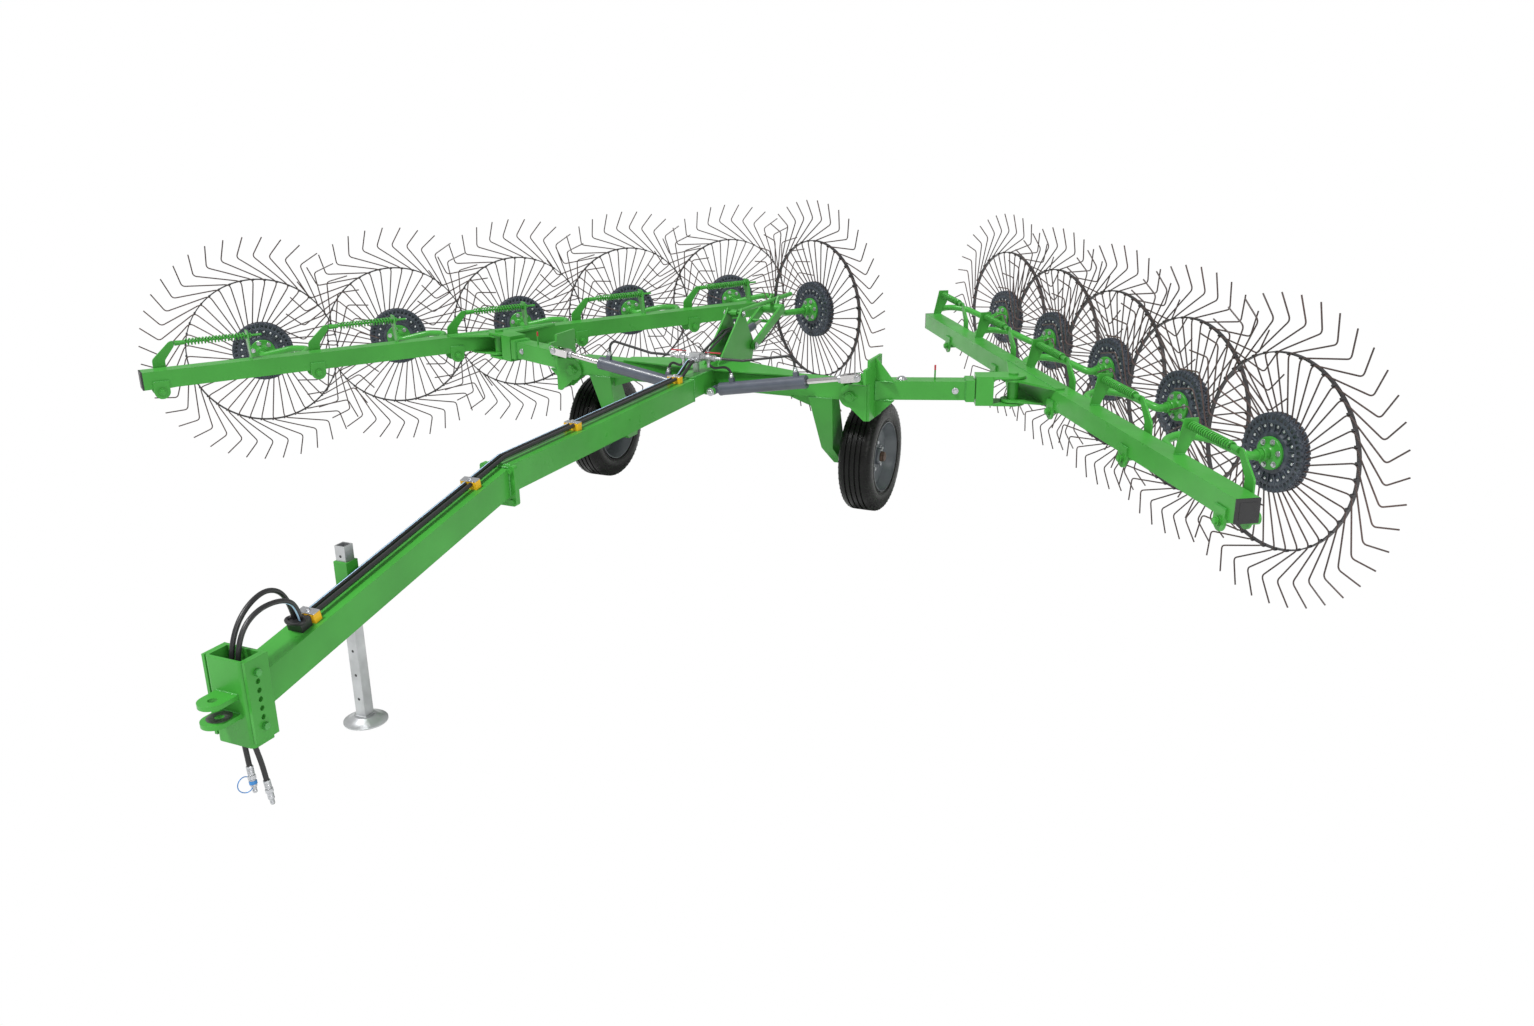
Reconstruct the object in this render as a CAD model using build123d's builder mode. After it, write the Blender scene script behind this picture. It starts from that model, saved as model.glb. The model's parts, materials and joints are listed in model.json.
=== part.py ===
"""Trailed v-rake: two banks of five finger wheels, a raised centre wheel, drawbar, axle and jack.

Millimetres, +Z up. The machine travels towards -Y, so its left side is +X.
Lengths along Y are counted from the tyre axle, and the finished model is then
moved so that its origin is at the middle of its footprint, on the ground.
"""
import os
from math import atan2, cos, degrees, radians, sin

from build123d import *

os.makedirs("parts", exist_ok=True)

# Fits
RUNNING = 1.0  # clearance of a shaft in its bore
SEAT = 0.3  # gap of a piece that only rests against its neighbour
SIDE_PLAY = 6.0  # gap beside a plate that turns next to another
OVERRUN = 20.0  # how far a cutting shape runs past what it cuts
ARC_SHARE = 0.45  # of the shorter run that each arc of a free hose takes

# Road wheels
TYRE_R = 310.0
TYRE_W = 190.0
TYRE_BEAD_R = 197.0
TYRE_SHOULDER = 42.0
TREAD_HALF = 62.0
BEAD_HALF = 84.0
TRACK_HALF = 860.5
RIM_WALL = 6.0
RIM_DISH = 34.0
RIM_DISC = 10.0
ROAD_HUB_R = 48.0
ROAD_HUB_HALF = 62.0
SPINDLE_R = 20.0
WHEEL_BOLTS = 5
WHEEL_BOLT_CIRCLE_R = 78.0
WHEEL_BOLT_R = 11.0
WHEEL_BOLT_H = 14.0

# Drawbar
BAR = 120.0
BAR_WALL = 8.0
BAR_TOP_Z = 800.0
BAR_BACK_Y = -585.0
BAR_FLANGE_Y = -2270.0
BAR_FRONT_Y = -3690.0
BAR_DROP = 11.8  # degrees that the front length slopes down
FLANGE_T = 14.0
FLANGE_W = 172.0
FLANGE_H = 176.0
FLANGE_BOLT_R = 13.0
FLANGE_BOLT_H = 11.0
FLANGE_BOLT_IN = 20.0  # bolt centres from the flange's edges

# Hitch
HEAD_HALF = 80.0
HEAD_T = 12.0
HEAD_LOW_Z = 290.0
HEAD_TOP_Z = 580.0
HEAD_FRONT_Y = -3790.0
HEAD_CORNER = 18.0
SLIDE_PLATE_DEPTH = 84.0
HITCH_HOLES = 7
HITCH_HOLE_R = 9.0
HITCH_HOLE_PITCH = 32.0
EAR_W = 96.0
EAR_T = 16.0
EAR_HOLE_R = 15.0
EAR_HOLE_Y = -3850.0
EAR_GAP = 52.0
EAR_MID_Z = 421.0

# Jack
JACK_X = -90.0
JACK_Y = -3110.0
JACK_TUBE = 45.0
JACK_WALL = 4.0
JACK_TOP_Z = 720.0
SLEEVE = 60.0
SLEEVE_LOW_Z = 455.0
SLEEVE_TOP_Z = 660.0
FOOT_R = 83.0
FOOT_H = 26.0
FOOT_T = 5.0

# Main frame
CROSS = 100.0
CROSS_TOP_Z = 800.0
CROSS_FRONT_Y = -330.0
CROSS_WALL = 6.0
BLOCK_END_X = 815.0
DECK_T = 8.0
DECK_HALF = 520.0
DECK_FRONT_Y = -356.0
DECK_APEX_Y = -70.0
BOX_HALF = 52.0

# Axle legs
LEG_TOP_IN = 614.0
LEG_TOP_OUT = 751.0
LEG_LOW_IN = 664.0
LEG_LOW_OUT = 716.0
LEG_LOW_Z = 262.0
LEG_GUSSET_X = 430.0
LEG_GUSSET_STEP = 62.0

# Lift hinges
HINGE_X = 858.0
HINGE_Z = 728.0
HINGE_PIN_R = 16.0
HINGE_HEAD_R = 27.0
HINGE_EAR_R = 62.0
HINGE_EAR_T = 12.0

# Lift arms
ARM_ANGLE = 20.5  # degrees that the arm points rearward
ARM_START_X = 965.0
ARM_START_Y = -209.0
ARM_TUBE = 100.0
ARM_WALL = 6.0
ARM_END_X = 1440.0
COLLAR = 116.0
COLLAR_L = 46.0
SHIELD_T = 15.0
SHIELD_LOW_Z = 600.0
SHIELD_TOP_Z = 926.0
SHIELD_FRONT_Y = -342.0
SHIELD_BACK_Y = -150.0
GUSSET_T = 12.0
GUSSET_REACH = 105.0

# Lift cylinders
RAM_Y = -400.0
RAM_BASE_X = 95.0
RAM_BASE_Z = 708.0
RAM_EYE_X = 925.0
RAM_EYE_Z = 848.0
RAM_BARREL_R = 35.0
RAM_BARREL_L = 545.0  # from the base pin to the gland
RAM_ROD_R = 15.0
RAM_PIN_R = 12.0
FORK_W = 62.0
FORK_H = 40.0
FORK_L = 92.0
FORK_THROAT = 62.0
LUG_T = 14.0
PORTS = (96.0, 478.0)  # from the base pin to each port block
PORT_W = 26.0
PORT_H = 22.0  # above the barrel
RAM_TURN = 1.0  # degrees that the barrel rises as the arm is lifted

# Arm extensions and their forks
EXT_TUBE = 86.0
EXT_WALL = 6.0
EXT_INSERT = 380.0
FORK_PIN_X = 1632.0
FORK_PIN_Y = 40.0
FORK_PIN_R = 15.0
FORK_PLATE_T = 12.0
FORK_PLATE_W = 130.0
FORK_HEAD_L = 92.0
FORK_HEAD_W = 118.0

# Rake beams
BANK_ANGLE = 56.38  # degrees between a beam and the X axis
FIRST_PIVOT_X = 2806.5
FIRST_PIVOT_Y = -1517.6
PIVOT_PITCH = 854.3
PIVOTS = 5
BEAM = 100.0
BEAM_WALL = 5.0
BEAM_LOW_Z = 700.0
BEAM_FACE = 5.0  # from the pivot line out to the inner face
BEAM_LEAD = 87.0
BEAM_TAIL = 520.0
CAP_T = 9.0
PIVOT_Z = 684.0
PIVOT_R = 14.0
PIVOT_EAR_R = 42.0
PIVOT_EAR_T = 10.0
BRACKET_AHEAD = 280.0  # reach of the top plate ahead of the fork pin
BRACKET_BEHIND = 430.0
BRACKET_LOW_AHEAD = 130.0  # the lower plate stops short of a pivot
BRACKET_T = 12.0

# Wheel arms and their springs
TUBE_R = 20.0
TUBE_WALL = 5.0
ARM_LINE = 142.0  # from the pivot line out to the arm's first run
LEVER_T = 10.0
LEVER_TOP_Z = 925.0
LEVER_TOP_ALONG = 100.0
ROD_R = 8.0
SPRING_R = 21.0
SPRING_START = 170.0
SPRING_STOP = 500.0
ROD_END = 585.0
STOP_T = 8.0
STOP_W = 62.0
NUT_R = 15.0
NUT_L = 20.0

# Finger wheels
HUB_ALONG = 661.9
HUB_OUT = 580.8
HUB_Z = 727.0
WHEEL_TURN = 43.6  # degrees from the Y axis to the wheel's own axis
TINES = 40
WIRE = 7.6
ROOT_R = 173.0
ROOT_TURN = 16.0
HOOP_R = 443.0
HOOP_RADIAL = 6.0
HOOP_DEPTH = 22.0
ELBOW_R = 587.0
ELBOW_TURN = 25.5
TIP_R = 703.0
TIP_TURN = 20.3
TINE_BACK = 56.0  # from the hub's front face back to the tines
DISC_R = 180.0
DISC_HALF_T = 27.0
DISC_WALL = 7.0
DISC_CORE_R = 40.0
HUB_FLANGE_R = 75.0
HUB_FLANGE_T = 14.0
HUB_BOSS_R = 34.0
HUB_BOSS_L = 32.0
AXLE_R = 14.0
AXLE_IN = 38.0

# Centre wheel
CENTRE_HUB = (-20.0, 1225.0, 872.0)
CENTRE_TURN = 29.6

# Centre mast, boom, link and cylinder
MAST_HALF = 44.0
MAST_T = 10.0
BOOM_PIVOT_Y = 185.0
BOOM_PIVOT_Z = 838.0
BOOM_PIN_R = 14.0
BOOM_BAR_T = 16.0
BOOM_BAR_W = 52.0
KNEE_Y = 600.0
KNEE_Z = 985.0
KNEE_R = 30.0
LINK_Y = 60.0
LINK_Z = 1045.0
LINK_R = 13.0
LINK_END_Y = 890.0
LINK_END_Z = 1030.0
CENTRE_RAM_LOW = (130.0, 905.0)
CENTRE_RAM_HIGH = (430.0, 938.0)
CENTRE_RAM_R = 22.0
CENTRE_ROD_R = 11.0

# Hoses, clamps and valve
HOSE_R = 9.0
HOSE_X = 14.0
HOSE_LIFT = 24.0  # hose centre above the drawbar
HOSE_BEND = 55.0
CLAMP_YS = (-690.0, -1690.0, -2460.0, -3400.0)
CLAMP_W = 74.0
CLAMP_L = 34.0
CLAMP_H = 38.0
BOOT_Y = -3450.0
BOOT_W = 64.0
BOOT_L = 50.0
BOOT_H = 36.0
VALVE_Y = -440.0
VALVE_Z = 890.0
VALVE_W = 62.0
VALVE_L = 44.0
VALVE_H = 46.0
VALVE_POST = 26.0
COCK_R = 14.0
COCK_OUT = 118.0
HANDLE_L = 88.0
HANDLE_W = 14.0
HANDLE_T = 4.0
SHORT_HOSE_R = 7.0
SHORT_HOSE_BEND = 40.0
CENTRE_HOSE_X = 9.0  # at the centre ram's base
COUPLER = (  # length, radius, sides, from the hose to the tip
    (32.0, 12.0, 12),
    (16.0, 14.0, 6),
    (26.0, 11.0, 12),
    (20.0, 8.0, 12),
)
# Routes of the two free hoses, from the rubber boot over the hitch head and through it
FREE_HOSE_A = [
    (-14, -3457.4, 582.3),
    (-14, -3469.7, 641.0),
    (-14.5, -3502, 701),
    (-14, -3562, 728),
    (-14, -3629, 713),
    (-14, -3688, 672),
    (-14, -3728, 608),
    (-15, -3745, 520),
    (-15, -3749, 415),
    (-13, -3750, 310),
    (-2, -3754, 240),
    (10, -3760, 180),
]
FREE_HOSE_B = [
    (14, -3457.4, 582.3),
    (14, -3468.5, 635.2),
    (17, -3506, 674),
    (18, -3568, 692),
    (17, -3636, 690),
    (15, -3697, 658),
    (13, -3733, 594),
    (12, -3745, 500),
    (13, -3747, 400),
    (16, -3745, 310),
    (28, -3739, 238),
    (38, -3732, 172),
    (42, -3729, 117),
]

finished = []


def keep(label, piece):
    """Label a finished piece and put it on the list of pieces to write."""
    piece.label = label
    finished.append(piece)


def keep_pair(label, piece):
    """Keep a left piece and its mirror image on the right."""
    keep(f"{label}_left", piece)
    with BuildPart() as twin:
        mirror(piece, about=Plane.YZ)
    keep(f"{label}_right", twin.part)


def polar(radius, turn):
    """The point of a flat outline at a radius and an angle in degrees."""
    return (radius * cos(radians(turn)), radius * sin(radians(turn)))


# Directions of the left bank: along its beam to the rear, and square to it, outboard
ALONG = Vector(-cos(radians(BANK_ANGLE)), sin(radians(BANK_ANGLE)), 0)
OUT = Vector(sin(radians(BANK_ANGLE)), cos(radians(BANK_ANGLE)), 0)
FIRST_PIVOT = Vector(FIRST_PIVOT_X, FIRST_PIVOT_Y, 0)
UP = Vector(0, 0, 1)


def on_bank(along, out, height):
    """A point of the left bank, from its first pivot."""
    return FIRST_PIVOT + ALONG * along + OUT * out + UP * height


# Tyre: flat tread, two-step shoulders, side walls down to the bead
tyre_half = [  # across the wheel from its middle, radius
    (TREAD_HALF, TYRE_R),
    (TYRE_W / 2 - TYRE_SHOULDER / 4, TYRE_R - TYRE_SHOULDER / 3),
    (TYRE_W / 2, TYRE_R - TYRE_SHOULDER),
    (TYRE_W / 2, TYRE_BEAD_R + TYRE_SHOULDER / 2),
    (BEAD_HALF, TYRE_BEAD_R),
]
with BuildPart() as tyre:
    with BuildSketch(Plane.XZ):
        with BuildLine():
            Polyline(
                *[(TRACK_HALF + x, TYRE_R + radius) for x, radius in tyre_half],
                *[(TRACK_HALF - x, TYRE_R + radius) for x, radius in reversed(tyre_half)],
                close=True,
            )
        make_face()
    revolve(axis=Axis((0, 0, TYRE_R), (1, 0, 0)))
keep_pair("tyre", tyre.part)

# Rim: flanged barrel, dished disc, hub with wheel bolts
rim_in_x = TRACK_HALF - TYRE_W / 2 + RIM_WALL
rim_out_x = TRACK_HALF + TYRE_W / 2 - RIM_WALL
bed_r = TYRE_BEAD_R - SEAT
disc_x = TRACK_HALF + RIM_DISH
rim_half = [  # across the wheel, radius
    (rim_in_x, bed_r),
    (rim_out_x, bed_r),
    (rim_out_x, bed_r - RIM_WALL),
    (disc_x, bed_r - RIM_WALL),
    (disc_x, ROAD_HUB_R),
    (TRACK_HALF + ROAD_HUB_HALF, ROAD_HUB_R),
    (TRACK_HALF + ROAD_HUB_HALF, SPINDLE_R + RUNNING),
    (TRACK_HALF - ROAD_HUB_HALF, SPINDLE_R + RUNNING),
    (TRACK_HALF - ROAD_HUB_HALF, ROAD_HUB_R),
    (disc_x - RIM_DISC, ROAD_HUB_R),
    (disc_x - RIM_DISC, bed_r - RIM_WALL),
    (rim_in_x, bed_r - RIM_WALL),
]
with BuildPart() as rim:
    with BuildSketch(Plane.XZ):
        with BuildLine():
            Polyline(*[(x, TYRE_R + radius) for x, radius in rim_half], close=True)
        make_face()
    revolve(axis=Axis((0, 0, TYRE_R), (1, 0, 0)))
    with BuildSketch(Plane((disc_x, 0, TYRE_R), x_dir=(0, 1, 0), z_dir=(1, 0, 0))):
        with PolarLocations(WHEEL_BOLT_CIRCLE_R, WHEEL_BOLTS):
            RegularPolygon(WHEEL_BOLT_R, 6)
    extrude(amount=WHEEL_BOLT_H)
keep_pair("rim", rim.part)

# Drawbar, rear length: a level square tube with a bolted flange at its front
bar_mid_z = BAR_TOP_Z - BAR / 2
with BuildPart() as drawbar_rear:
    with BuildSketch(Plane((0, BAR_BACK_Y, bar_mid_z), x_dir=(1, 0, 0), z_dir=(0, -1, 0))):
        Rectangle(BAR, BAR)
        Rectangle(BAR - 2 * BAR_WALL, BAR - 2 * BAR_WALL, mode=Mode.SUBTRACT)
    extrude(amount=BAR_BACK_Y - BAR_FLANGE_Y)
    flange_mid_z = BAR_TOP_Z - FLANGE_H / 2
    with BuildSketch(Plane((0, BAR_FLANGE_Y, flange_mid_z), x_dir=(-1, 0, 0), z_dir=(0, 1, 0))):
        RectangleRounded(FLANGE_W, FLANGE_H, FLANGE_T)
    extrude(amount=FLANGE_T)
keep("drawbar_rear", drawbar_rear.part)

# Drawbar, front length: slopes down to the hitch, with perforated side plates
slope = radians(BAR_DROP)
bar_low = BAR_TOP_Z - BAR - HEAD_T
bar_fall = (BAR_FLANGE_Y - FLANGE_T - BAR_FRONT_Y) * sin(slope) / cos(slope)
bar_tall = BAR / cos(slope)
wall_tall = BAR_WALL / cos(slope)
plate_mid_z = (HEAD_LOW_Z + HEAD_TOP_Z) / 2
plate_tall = HEAD_TOP_Z - HEAD_LOW_Z


def bar_side(rise, height):
    """Side view of the sloping tube, in Y and Z, from a lower edge up by a height."""
    y_back = BAR_FLANGE_Y - FLANGE_T
    y_front = BAR_FRONT_Y
    low_back = bar_low + rise
    low_front = bar_low + rise - bar_fall
    back = [(y_back, low_back), (y_back, low_back + height)]
    return [*back, (y_front, low_front + height), (y_front, low_front)]


with BuildPart() as drawbar_front:
    with BuildSketch(Plane.YZ):
        with BuildLine():
            Polyline(*bar_side(0, bar_tall), close=True)
        make_face()
    extrude(amount=BAR / 2, both=True)
    with BuildSketch(Plane.YZ):
        with BuildLine():
            Polyline(*bar_side(wall_tall, bar_tall - 2 * wall_tall), close=True)
        make_face()
    extrude(amount=BAR / 2 - BAR_WALL, both=True, mode=Mode.SUBTRACT)
    with BuildSketch(Plane((0, BAR_FLANGE_Y - FLANGE_T, flange_mid_z), x_dir=(-1, 0, 0), z_dir=(0, 1, 0))):
        RectangleRounded(FLANGE_W, FLANGE_H, FLANGE_T)
    extrude(amount=FLANGE_T)
    with Locations((0, BAR_FRONT_Y - HEAD_T / 2, plate_mid_z)):
        Box(2 * (HEAD_HALF + HEAD_T), HEAD_T, plate_tall)
    plate_x = HEAD_HALF + HEAD_T / 2
    plate_y = BAR_FRONT_Y - HEAD_T - SLIDE_PLATE_DEPTH / 2
    with Locations((plate_x, plate_y, plate_mid_z), (-plate_x, plate_y, plate_mid_z)):
        Box(HEAD_T, SLIDE_PLATE_DEPTH, plate_tall)
    hole_y = plate_y
    with Locations(Plane((0, hole_y, plate_mid_z), x_dir=(0, 0, 1), z_dir=(1, 0, 0))):
        with GridLocations(HITCH_HOLE_PITCH, 0, HITCH_HOLES, 1):
            Cylinder(HITCH_HOLE_R, 2 * HEAD_HALF + OVERRUN * 4, mode=Mode.SUBTRACT)
    bolt_plane = Plane((0, BAR_FLANGE_Y - FLANGE_T, flange_mid_z), x_dir=(1, 0, 0), z_dir=(0, -1, 0))
    with BuildSketch(bolt_plane):
        with GridLocations(FLANGE_W - 2 * FLANGE_BOLT_IN, FLANGE_H - 2 * FLANGE_BOLT_IN, 2, 2):
            RegularPolygon(FLANGE_BOLT_R, 6)
    extrude(amount=FLANGE_BOLT_H)
keep("drawbar_front", drawbar_front.part)

# Hitch head: a channel between the side plates, with two clevis ears
head_back_y = BAR_FRONT_Y - HEAD_T - SEAT
head_in = HEAD_HALF - SEAT
head_mid_y = (HEAD_FRONT_Y + head_back_y) / 2
ear_zs = (EAR_MID_Z - EAR_GAP / 2 - EAR_T, EAR_MID_Z + EAR_GAP / 2)
with BuildPart() as hitch_head:
    with BuildSketch(Plane.XY.offset(HEAD_LOW_Z - HEAD_CORNER)):
        with Locations((0, head_mid_y)):
            Rectangle(2 * head_in, head_back_y - HEAD_FRONT_Y)
        with Locations((0, head_mid_y + HEAD_T)):
            Rectangle(2 * (head_in - HEAD_T), head_back_y - HEAD_FRONT_Y, mode=Mode.SUBTRACT)
    extrude(amount=plate_tall + HEAD_CORNER)
    corners = hitch_head.edges().filter_by(Axis.Z).group_by(Axis.Y)[0]
    fillet(corners, HEAD_CORNER)
    for ear_z in ear_zs:
        with BuildSketch(Plane.XY.offset(ear_z)):
            with Locations((0, EAR_HOLE_Y)):
                Circle(EAR_W / 2)
            with Locations((0, (EAR_HOLE_Y + HEAD_FRONT_Y) / 2)):
                Rectangle(EAR_W, HEAD_FRONT_Y - EAR_HOLE_Y)
            with Locations((0, EAR_HOLE_Y)):
                Circle(EAR_HOLE_R, mode=Mode.SUBTRACT)
        extrude(amount=EAR_T)
keep("hitch_head", hitch_head.part)

# Hitch bolts: through the top and bottom holes of the side plates
bolt_span = HITCH_HOLE_PITCH * (HITCH_HOLES - 1) / 2
bolt_zs = (plate_mid_z - bolt_span, plate_mid_z + bolt_span)
bolt_x = HEAD_HALF + HEAD_T
with BuildPart() as hitch_bolts:
    for side in (-1, 1):
        for bolt_z in bolt_zs:
            start = (side * bolt_x, hole_y, bolt_z)
            with BuildSketch(Plane(start, x_dir=(0, 1, 0), z_dir=(side, 0, 0))):
                RegularPolygon(HITCH_HOLE_R * 1.5, 6)
            extrude(amount=HEAD_T)
keep("hitch_bolts", hitch_bolts.part)

# Jack: square sleeve welded beside the drawbar, and a square leg on a dished foot
with BuildPart() as jack_sleeve:
    with BuildSketch(Plane.XY.offset(SLEEVE_LOW_Z)):
        with Locations((JACK_X, JACK_Y)):
            Rectangle(SLEEVE, SLEEVE)
            Rectangle(JACK_TUBE + 2 * SEAT, JACK_TUBE + 2 * SEAT, mode=Mode.SUBTRACT)
    extrude(amount=SLEEVE_TOP_Z - SLEEVE_LOW_Z)
keep("jack_sleeve", jack_sleeve.part)

with BuildPart() as jack_leg:
    with BuildSketch(Plane.XZ.offset(-JACK_Y)):
        with BuildLine():
            Polyline(
                (JACK_X, 0),
                (JACK_X + FOOT_R, 0),
                (JACK_X + FOOT_R, FOOT_T),
                (JACK_X + FOOT_R * 0.8, FOOT_T * 2),
                (JACK_X + FOOT_R * 0.5, FOOT_H),
                (JACK_X, FOOT_H),
                close=True,
            )
        make_face()
    revolve(axis=Axis((JACK_X, JACK_Y, 0), (0, 0, 1)))
    with BuildSketch(Plane.XY.offset(FOOT_H)):
        with Locations((JACK_X, JACK_Y)):
            Rectangle(JACK_TUBE, JACK_TUBE)
            Rectangle(JACK_TUBE - 2 * JACK_WALL, JACK_TUBE - 2 * JACK_WALL, mode=Mode.SUBTRACT)
    extrude(amount=JACK_TOP_Z - FOOT_H)
keep("jack_leg", jack_leg.part)

# Main frame: cross tube, end blocks with hinge bores, deck plates, middle box with cylinder lugs
cross_mid_y = CROSS_FRONT_Y + CROSS / 2
cross_mid_z = CROSS_TOP_Z - CROSS / 2
deck_half = [
    (0, BAR_BACK_Y),
    (BOX_HALF, BAR_BACK_Y),
    (BOX_HALF + DECK_T, DECK_FRONT_Y),
    (DECK_HALF, CROSS_FRONT_Y),
    (DECK_HALF, CROSS_FRONT_Y + CROSS),
    (BOX_HALF, DECK_APEX_Y),
    (0, DECK_APEX_Y),
]
belly_half = [
    (0, BAR_BACK_Y),
    (BOX_HALF, BAR_BACK_Y),
    (BOX_HALF, CROSS_FRONT_Y),
    (DECK_HALF, CROSS_FRONT_Y),
    (DECK_HALF, CROSS_FRONT_Y + CROSS),
    (BOX_HALF, DECK_APEX_Y),
    (0, DECK_APEX_Y),
]
lug_inner = FORK_W / 2
cross_in = CROSS - 2 * CROSS_WALL
with BuildPart() as main_frame:
    with Locations((0, cross_mid_y, cross_mid_z)):
        Box(2 * BLOCK_END_X, CROSS, CROSS)
        Box(2 * (BLOCK_END_X - 2 * CROSS_WALL), cross_in, cross_in, mode=Mode.SUBTRACT)
    for side in (-1, 1):
        with BuildSketch(Plane((side * HINGE_X, CROSS_FRONT_Y, HINGE_Z), x_dir=(1, 0, 0), z_dir=(0, -1, 0))):
            Circle(HINGE_EAR_R * 0.8)
            with Locations((-side * (HINGE_X - BLOCK_END_X) / 2, 0)):
                Rectangle(HINGE_X - BLOCK_END_X, HINGE_EAR_R)
        extrude(amount=-CROSS)
        with Locations(Plane((side * HINGE_X, cross_mid_y, HINGE_Z), x_dir=(1, 0, 0), z_dir=(0, -1, 0))):
            Cylinder(HINGE_PIN_R + RUNNING, CROSS + OVERRUN, mode=Mode.SUBTRACT)
    for deck_z, half in ((CROSS_TOP_Z, deck_half), (CROSS_TOP_Z - CROSS - DECK_T, belly_half)):
        with BuildSketch(Plane.XY.offset(deck_z)):
            with BuildLine():
                Polyline(*half)
                mirror(about=Plane.YZ)
            make_face()
        extrude(amount=DECK_T)
    for box_start, box_end in ((BAR_BACK_Y, CROSS_FRONT_Y), (CROSS_FRONT_Y + CROSS, DECK_APEX_Y)):
        with Locations((0, (box_start + box_end) / 2, cross_mid_z)):
            Box(2 * BOX_HALF, box_end - box_start, CROSS)
            box_in = box_end - box_start - 2 * CROSS_WALL
            Box(2 * (BOX_HALF - CROSS_WALL), box_in, cross_in, mode=Mode.SUBTRACT)
    for side in (-1, 1):
        for lug_y in (RAM_Y - lug_inner - SIDE_PLAY - LUG_T, RAM_Y + lug_inner + SIDE_PLAY):
            with BuildSketch(Plane((0, lug_y, 0), x_dir=(1, 0, 0), z_dir=(0, -1, 0))):
                with Locations((side * RAM_BASE_X, RAM_BASE_Z)):
                    Circle(FORK_H / 2)
                with Locations((side * (RAM_BASE_X + BOX_HALF) / 2, RAM_BASE_Z)):
                    Rectangle(RAM_BASE_X - BOX_HALF, FORK_H)
            extrude(amount=-LUG_T)
        pin_y = RAM_Y - lug_inner - SIDE_PLAY - LUG_T
        pin_plane = Plane((side * RAM_BASE_X, pin_y, RAM_BASE_Z), x_dir=(1, 0, 0), z_dir=(0, 1, 0))
        with BuildSketch(pin_plane):
            Circle(RAM_PIN_R)
        extrude(amount=FORK_W + 2 * (SIDE_PLAY + LUG_T))
        with BuildSketch(pin_plane):
            Circle(RAM_PIN_R * 1.5)
        extrude(amount=-LUG_T / 2)
        with BuildSketch(Plane.XZ.offset(-cross_mid_y - GUSSET_T / 2)):
            with BuildLine():
                Polyline(
                    (side * LEG_GUSSET_X, CROSS_TOP_Z - CROSS),
                    (side * (LEG_TOP_IN - SEAT), CROSS_TOP_Z - CROSS),
                    (side * (LEG_TOP_IN - SEAT), CROSS_TOP_Z - CROSS - LEG_GUSSET_STEP),
                    close=True,
                )
            make_face()
        extrude(amount=GUSSET_T)
keep("main_frame", main_frame.part)

# Axle legs: tapered boxes from the end blocks down and back to the spindles
leg_side = [
    (CROSS_FRONT_Y, CROSS_TOP_Z - CROSS),
    (CROSS_FRONT_Y + CROSS, CROSS_TOP_Z - CROSS),
    (-SPINDLE_R, TYRE_R + 2 * SPINDLE_R),
    (2 * SPINDLE_R, TYRE_R + SPINDLE_R),
    (2 * SPINDLE_R, LEG_LOW_Z),
    (-3 * SPINDLE_R, LEG_LOW_Z),
    (CROSS_FRONT_Y + CROSS * 1.1, TYRE_R + 4 * SPINDLE_R),
]
with BuildPart() as axle_leg:
    with BuildSketch(Plane.YZ.offset(LEG_TOP_IN)):
        with BuildLine():
            Polyline(*leg_side, close=True)
        make_face()
    extrude(amount=LEG_TOP_OUT - LEG_TOP_IN)
    with BuildSketch(Plane.XZ.offset(-OVERRUN * 5)):
        with BuildLine():
            Polyline(
                (LEG_TOP_IN, CROSS_TOP_Z - CROSS),
                (LEG_TOP_OUT, CROSS_TOP_Z - CROSS),
                (LEG_LOW_OUT, TYRE_R + 4 * SPINDLE_R),
                (LEG_LOW_OUT, LEG_LOW_Z),
                (LEG_LOW_IN, LEG_LOW_Z),
                close=True,
            )
        make_face()
    extrude(amount=BAR_FLANGE_Y * -1, mode=Mode.INTERSECT)
    spindle_plane = Plane((LEG_LOW_OUT, 0, TYRE_R), x_dir=(0, 1, 0), z_dir=(1, 0, 0))
    spindle_l = TRACK_HALF + ROAD_HUB_HALF - LEG_LOW_OUT
    with BuildSketch(spindle_plane):
        Circle(SPINDLE_R * 1.5)
    extrude(amount=TRACK_HALF - ROAD_HUB_HALF - LEG_LOW_OUT - SIDE_PLAY)
    with BuildSketch(spindle_plane):
        Circle(SPINDLE_R)
    extrude(amount=spindle_l)
    with BuildSketch(spindle_plane.offset(spindle_l)):
        RegularPolygon(SPINDLE_R * 1.1, 6)
    extrude(amount=SPINDLE_R)
keep_pair("axle_leg", axle_leg.part)

# Lift arm: hinge plates, upright shield with gussets, square tube with a collar, lug for the ram
arm_turn = radians(ARM_ANGLE)
arm_dir = Vector(cos(arm_turn), sin(arm_turn), 0)
arm_side = Vector(-sin(arm_turn), cos(arm_turn), 0)
arm_start = Vector(ARM_START_X, ARM_START_Y, cross_mid_z)
arm_l = (ARM_END_X - ARM_START_X) / cos(arm_turn)
shield_x = ARM_START_X - SHIELD_T
ear_front_y = CROSS_FRONT_Y - SIDE_PLAY - HINGE_EAR_T
ear_back_y = CROSS_FRONT_Y + CROSS + SIDE_PLAY
shield_mid_y = (SHIELD_FRONT_Y + SHIELD_BACK_Y) / 2
shield_mid_z = (SHIELD_LOW_Z + SHIELD_TOP_Z) / 2


def along_arm(distance, side=0, height=0):
    """A point on the left lift arm's line, from the shield's outer face."""
    return arm_start + arm_dir * distance + arm_side * side + UP * height


def across_arm(distance):
    """The plane square to the lift arm at a distance along it."""
    return Plane(along_arm(distance), x_dir=arm_side, z_dir=arm_dir)


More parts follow.
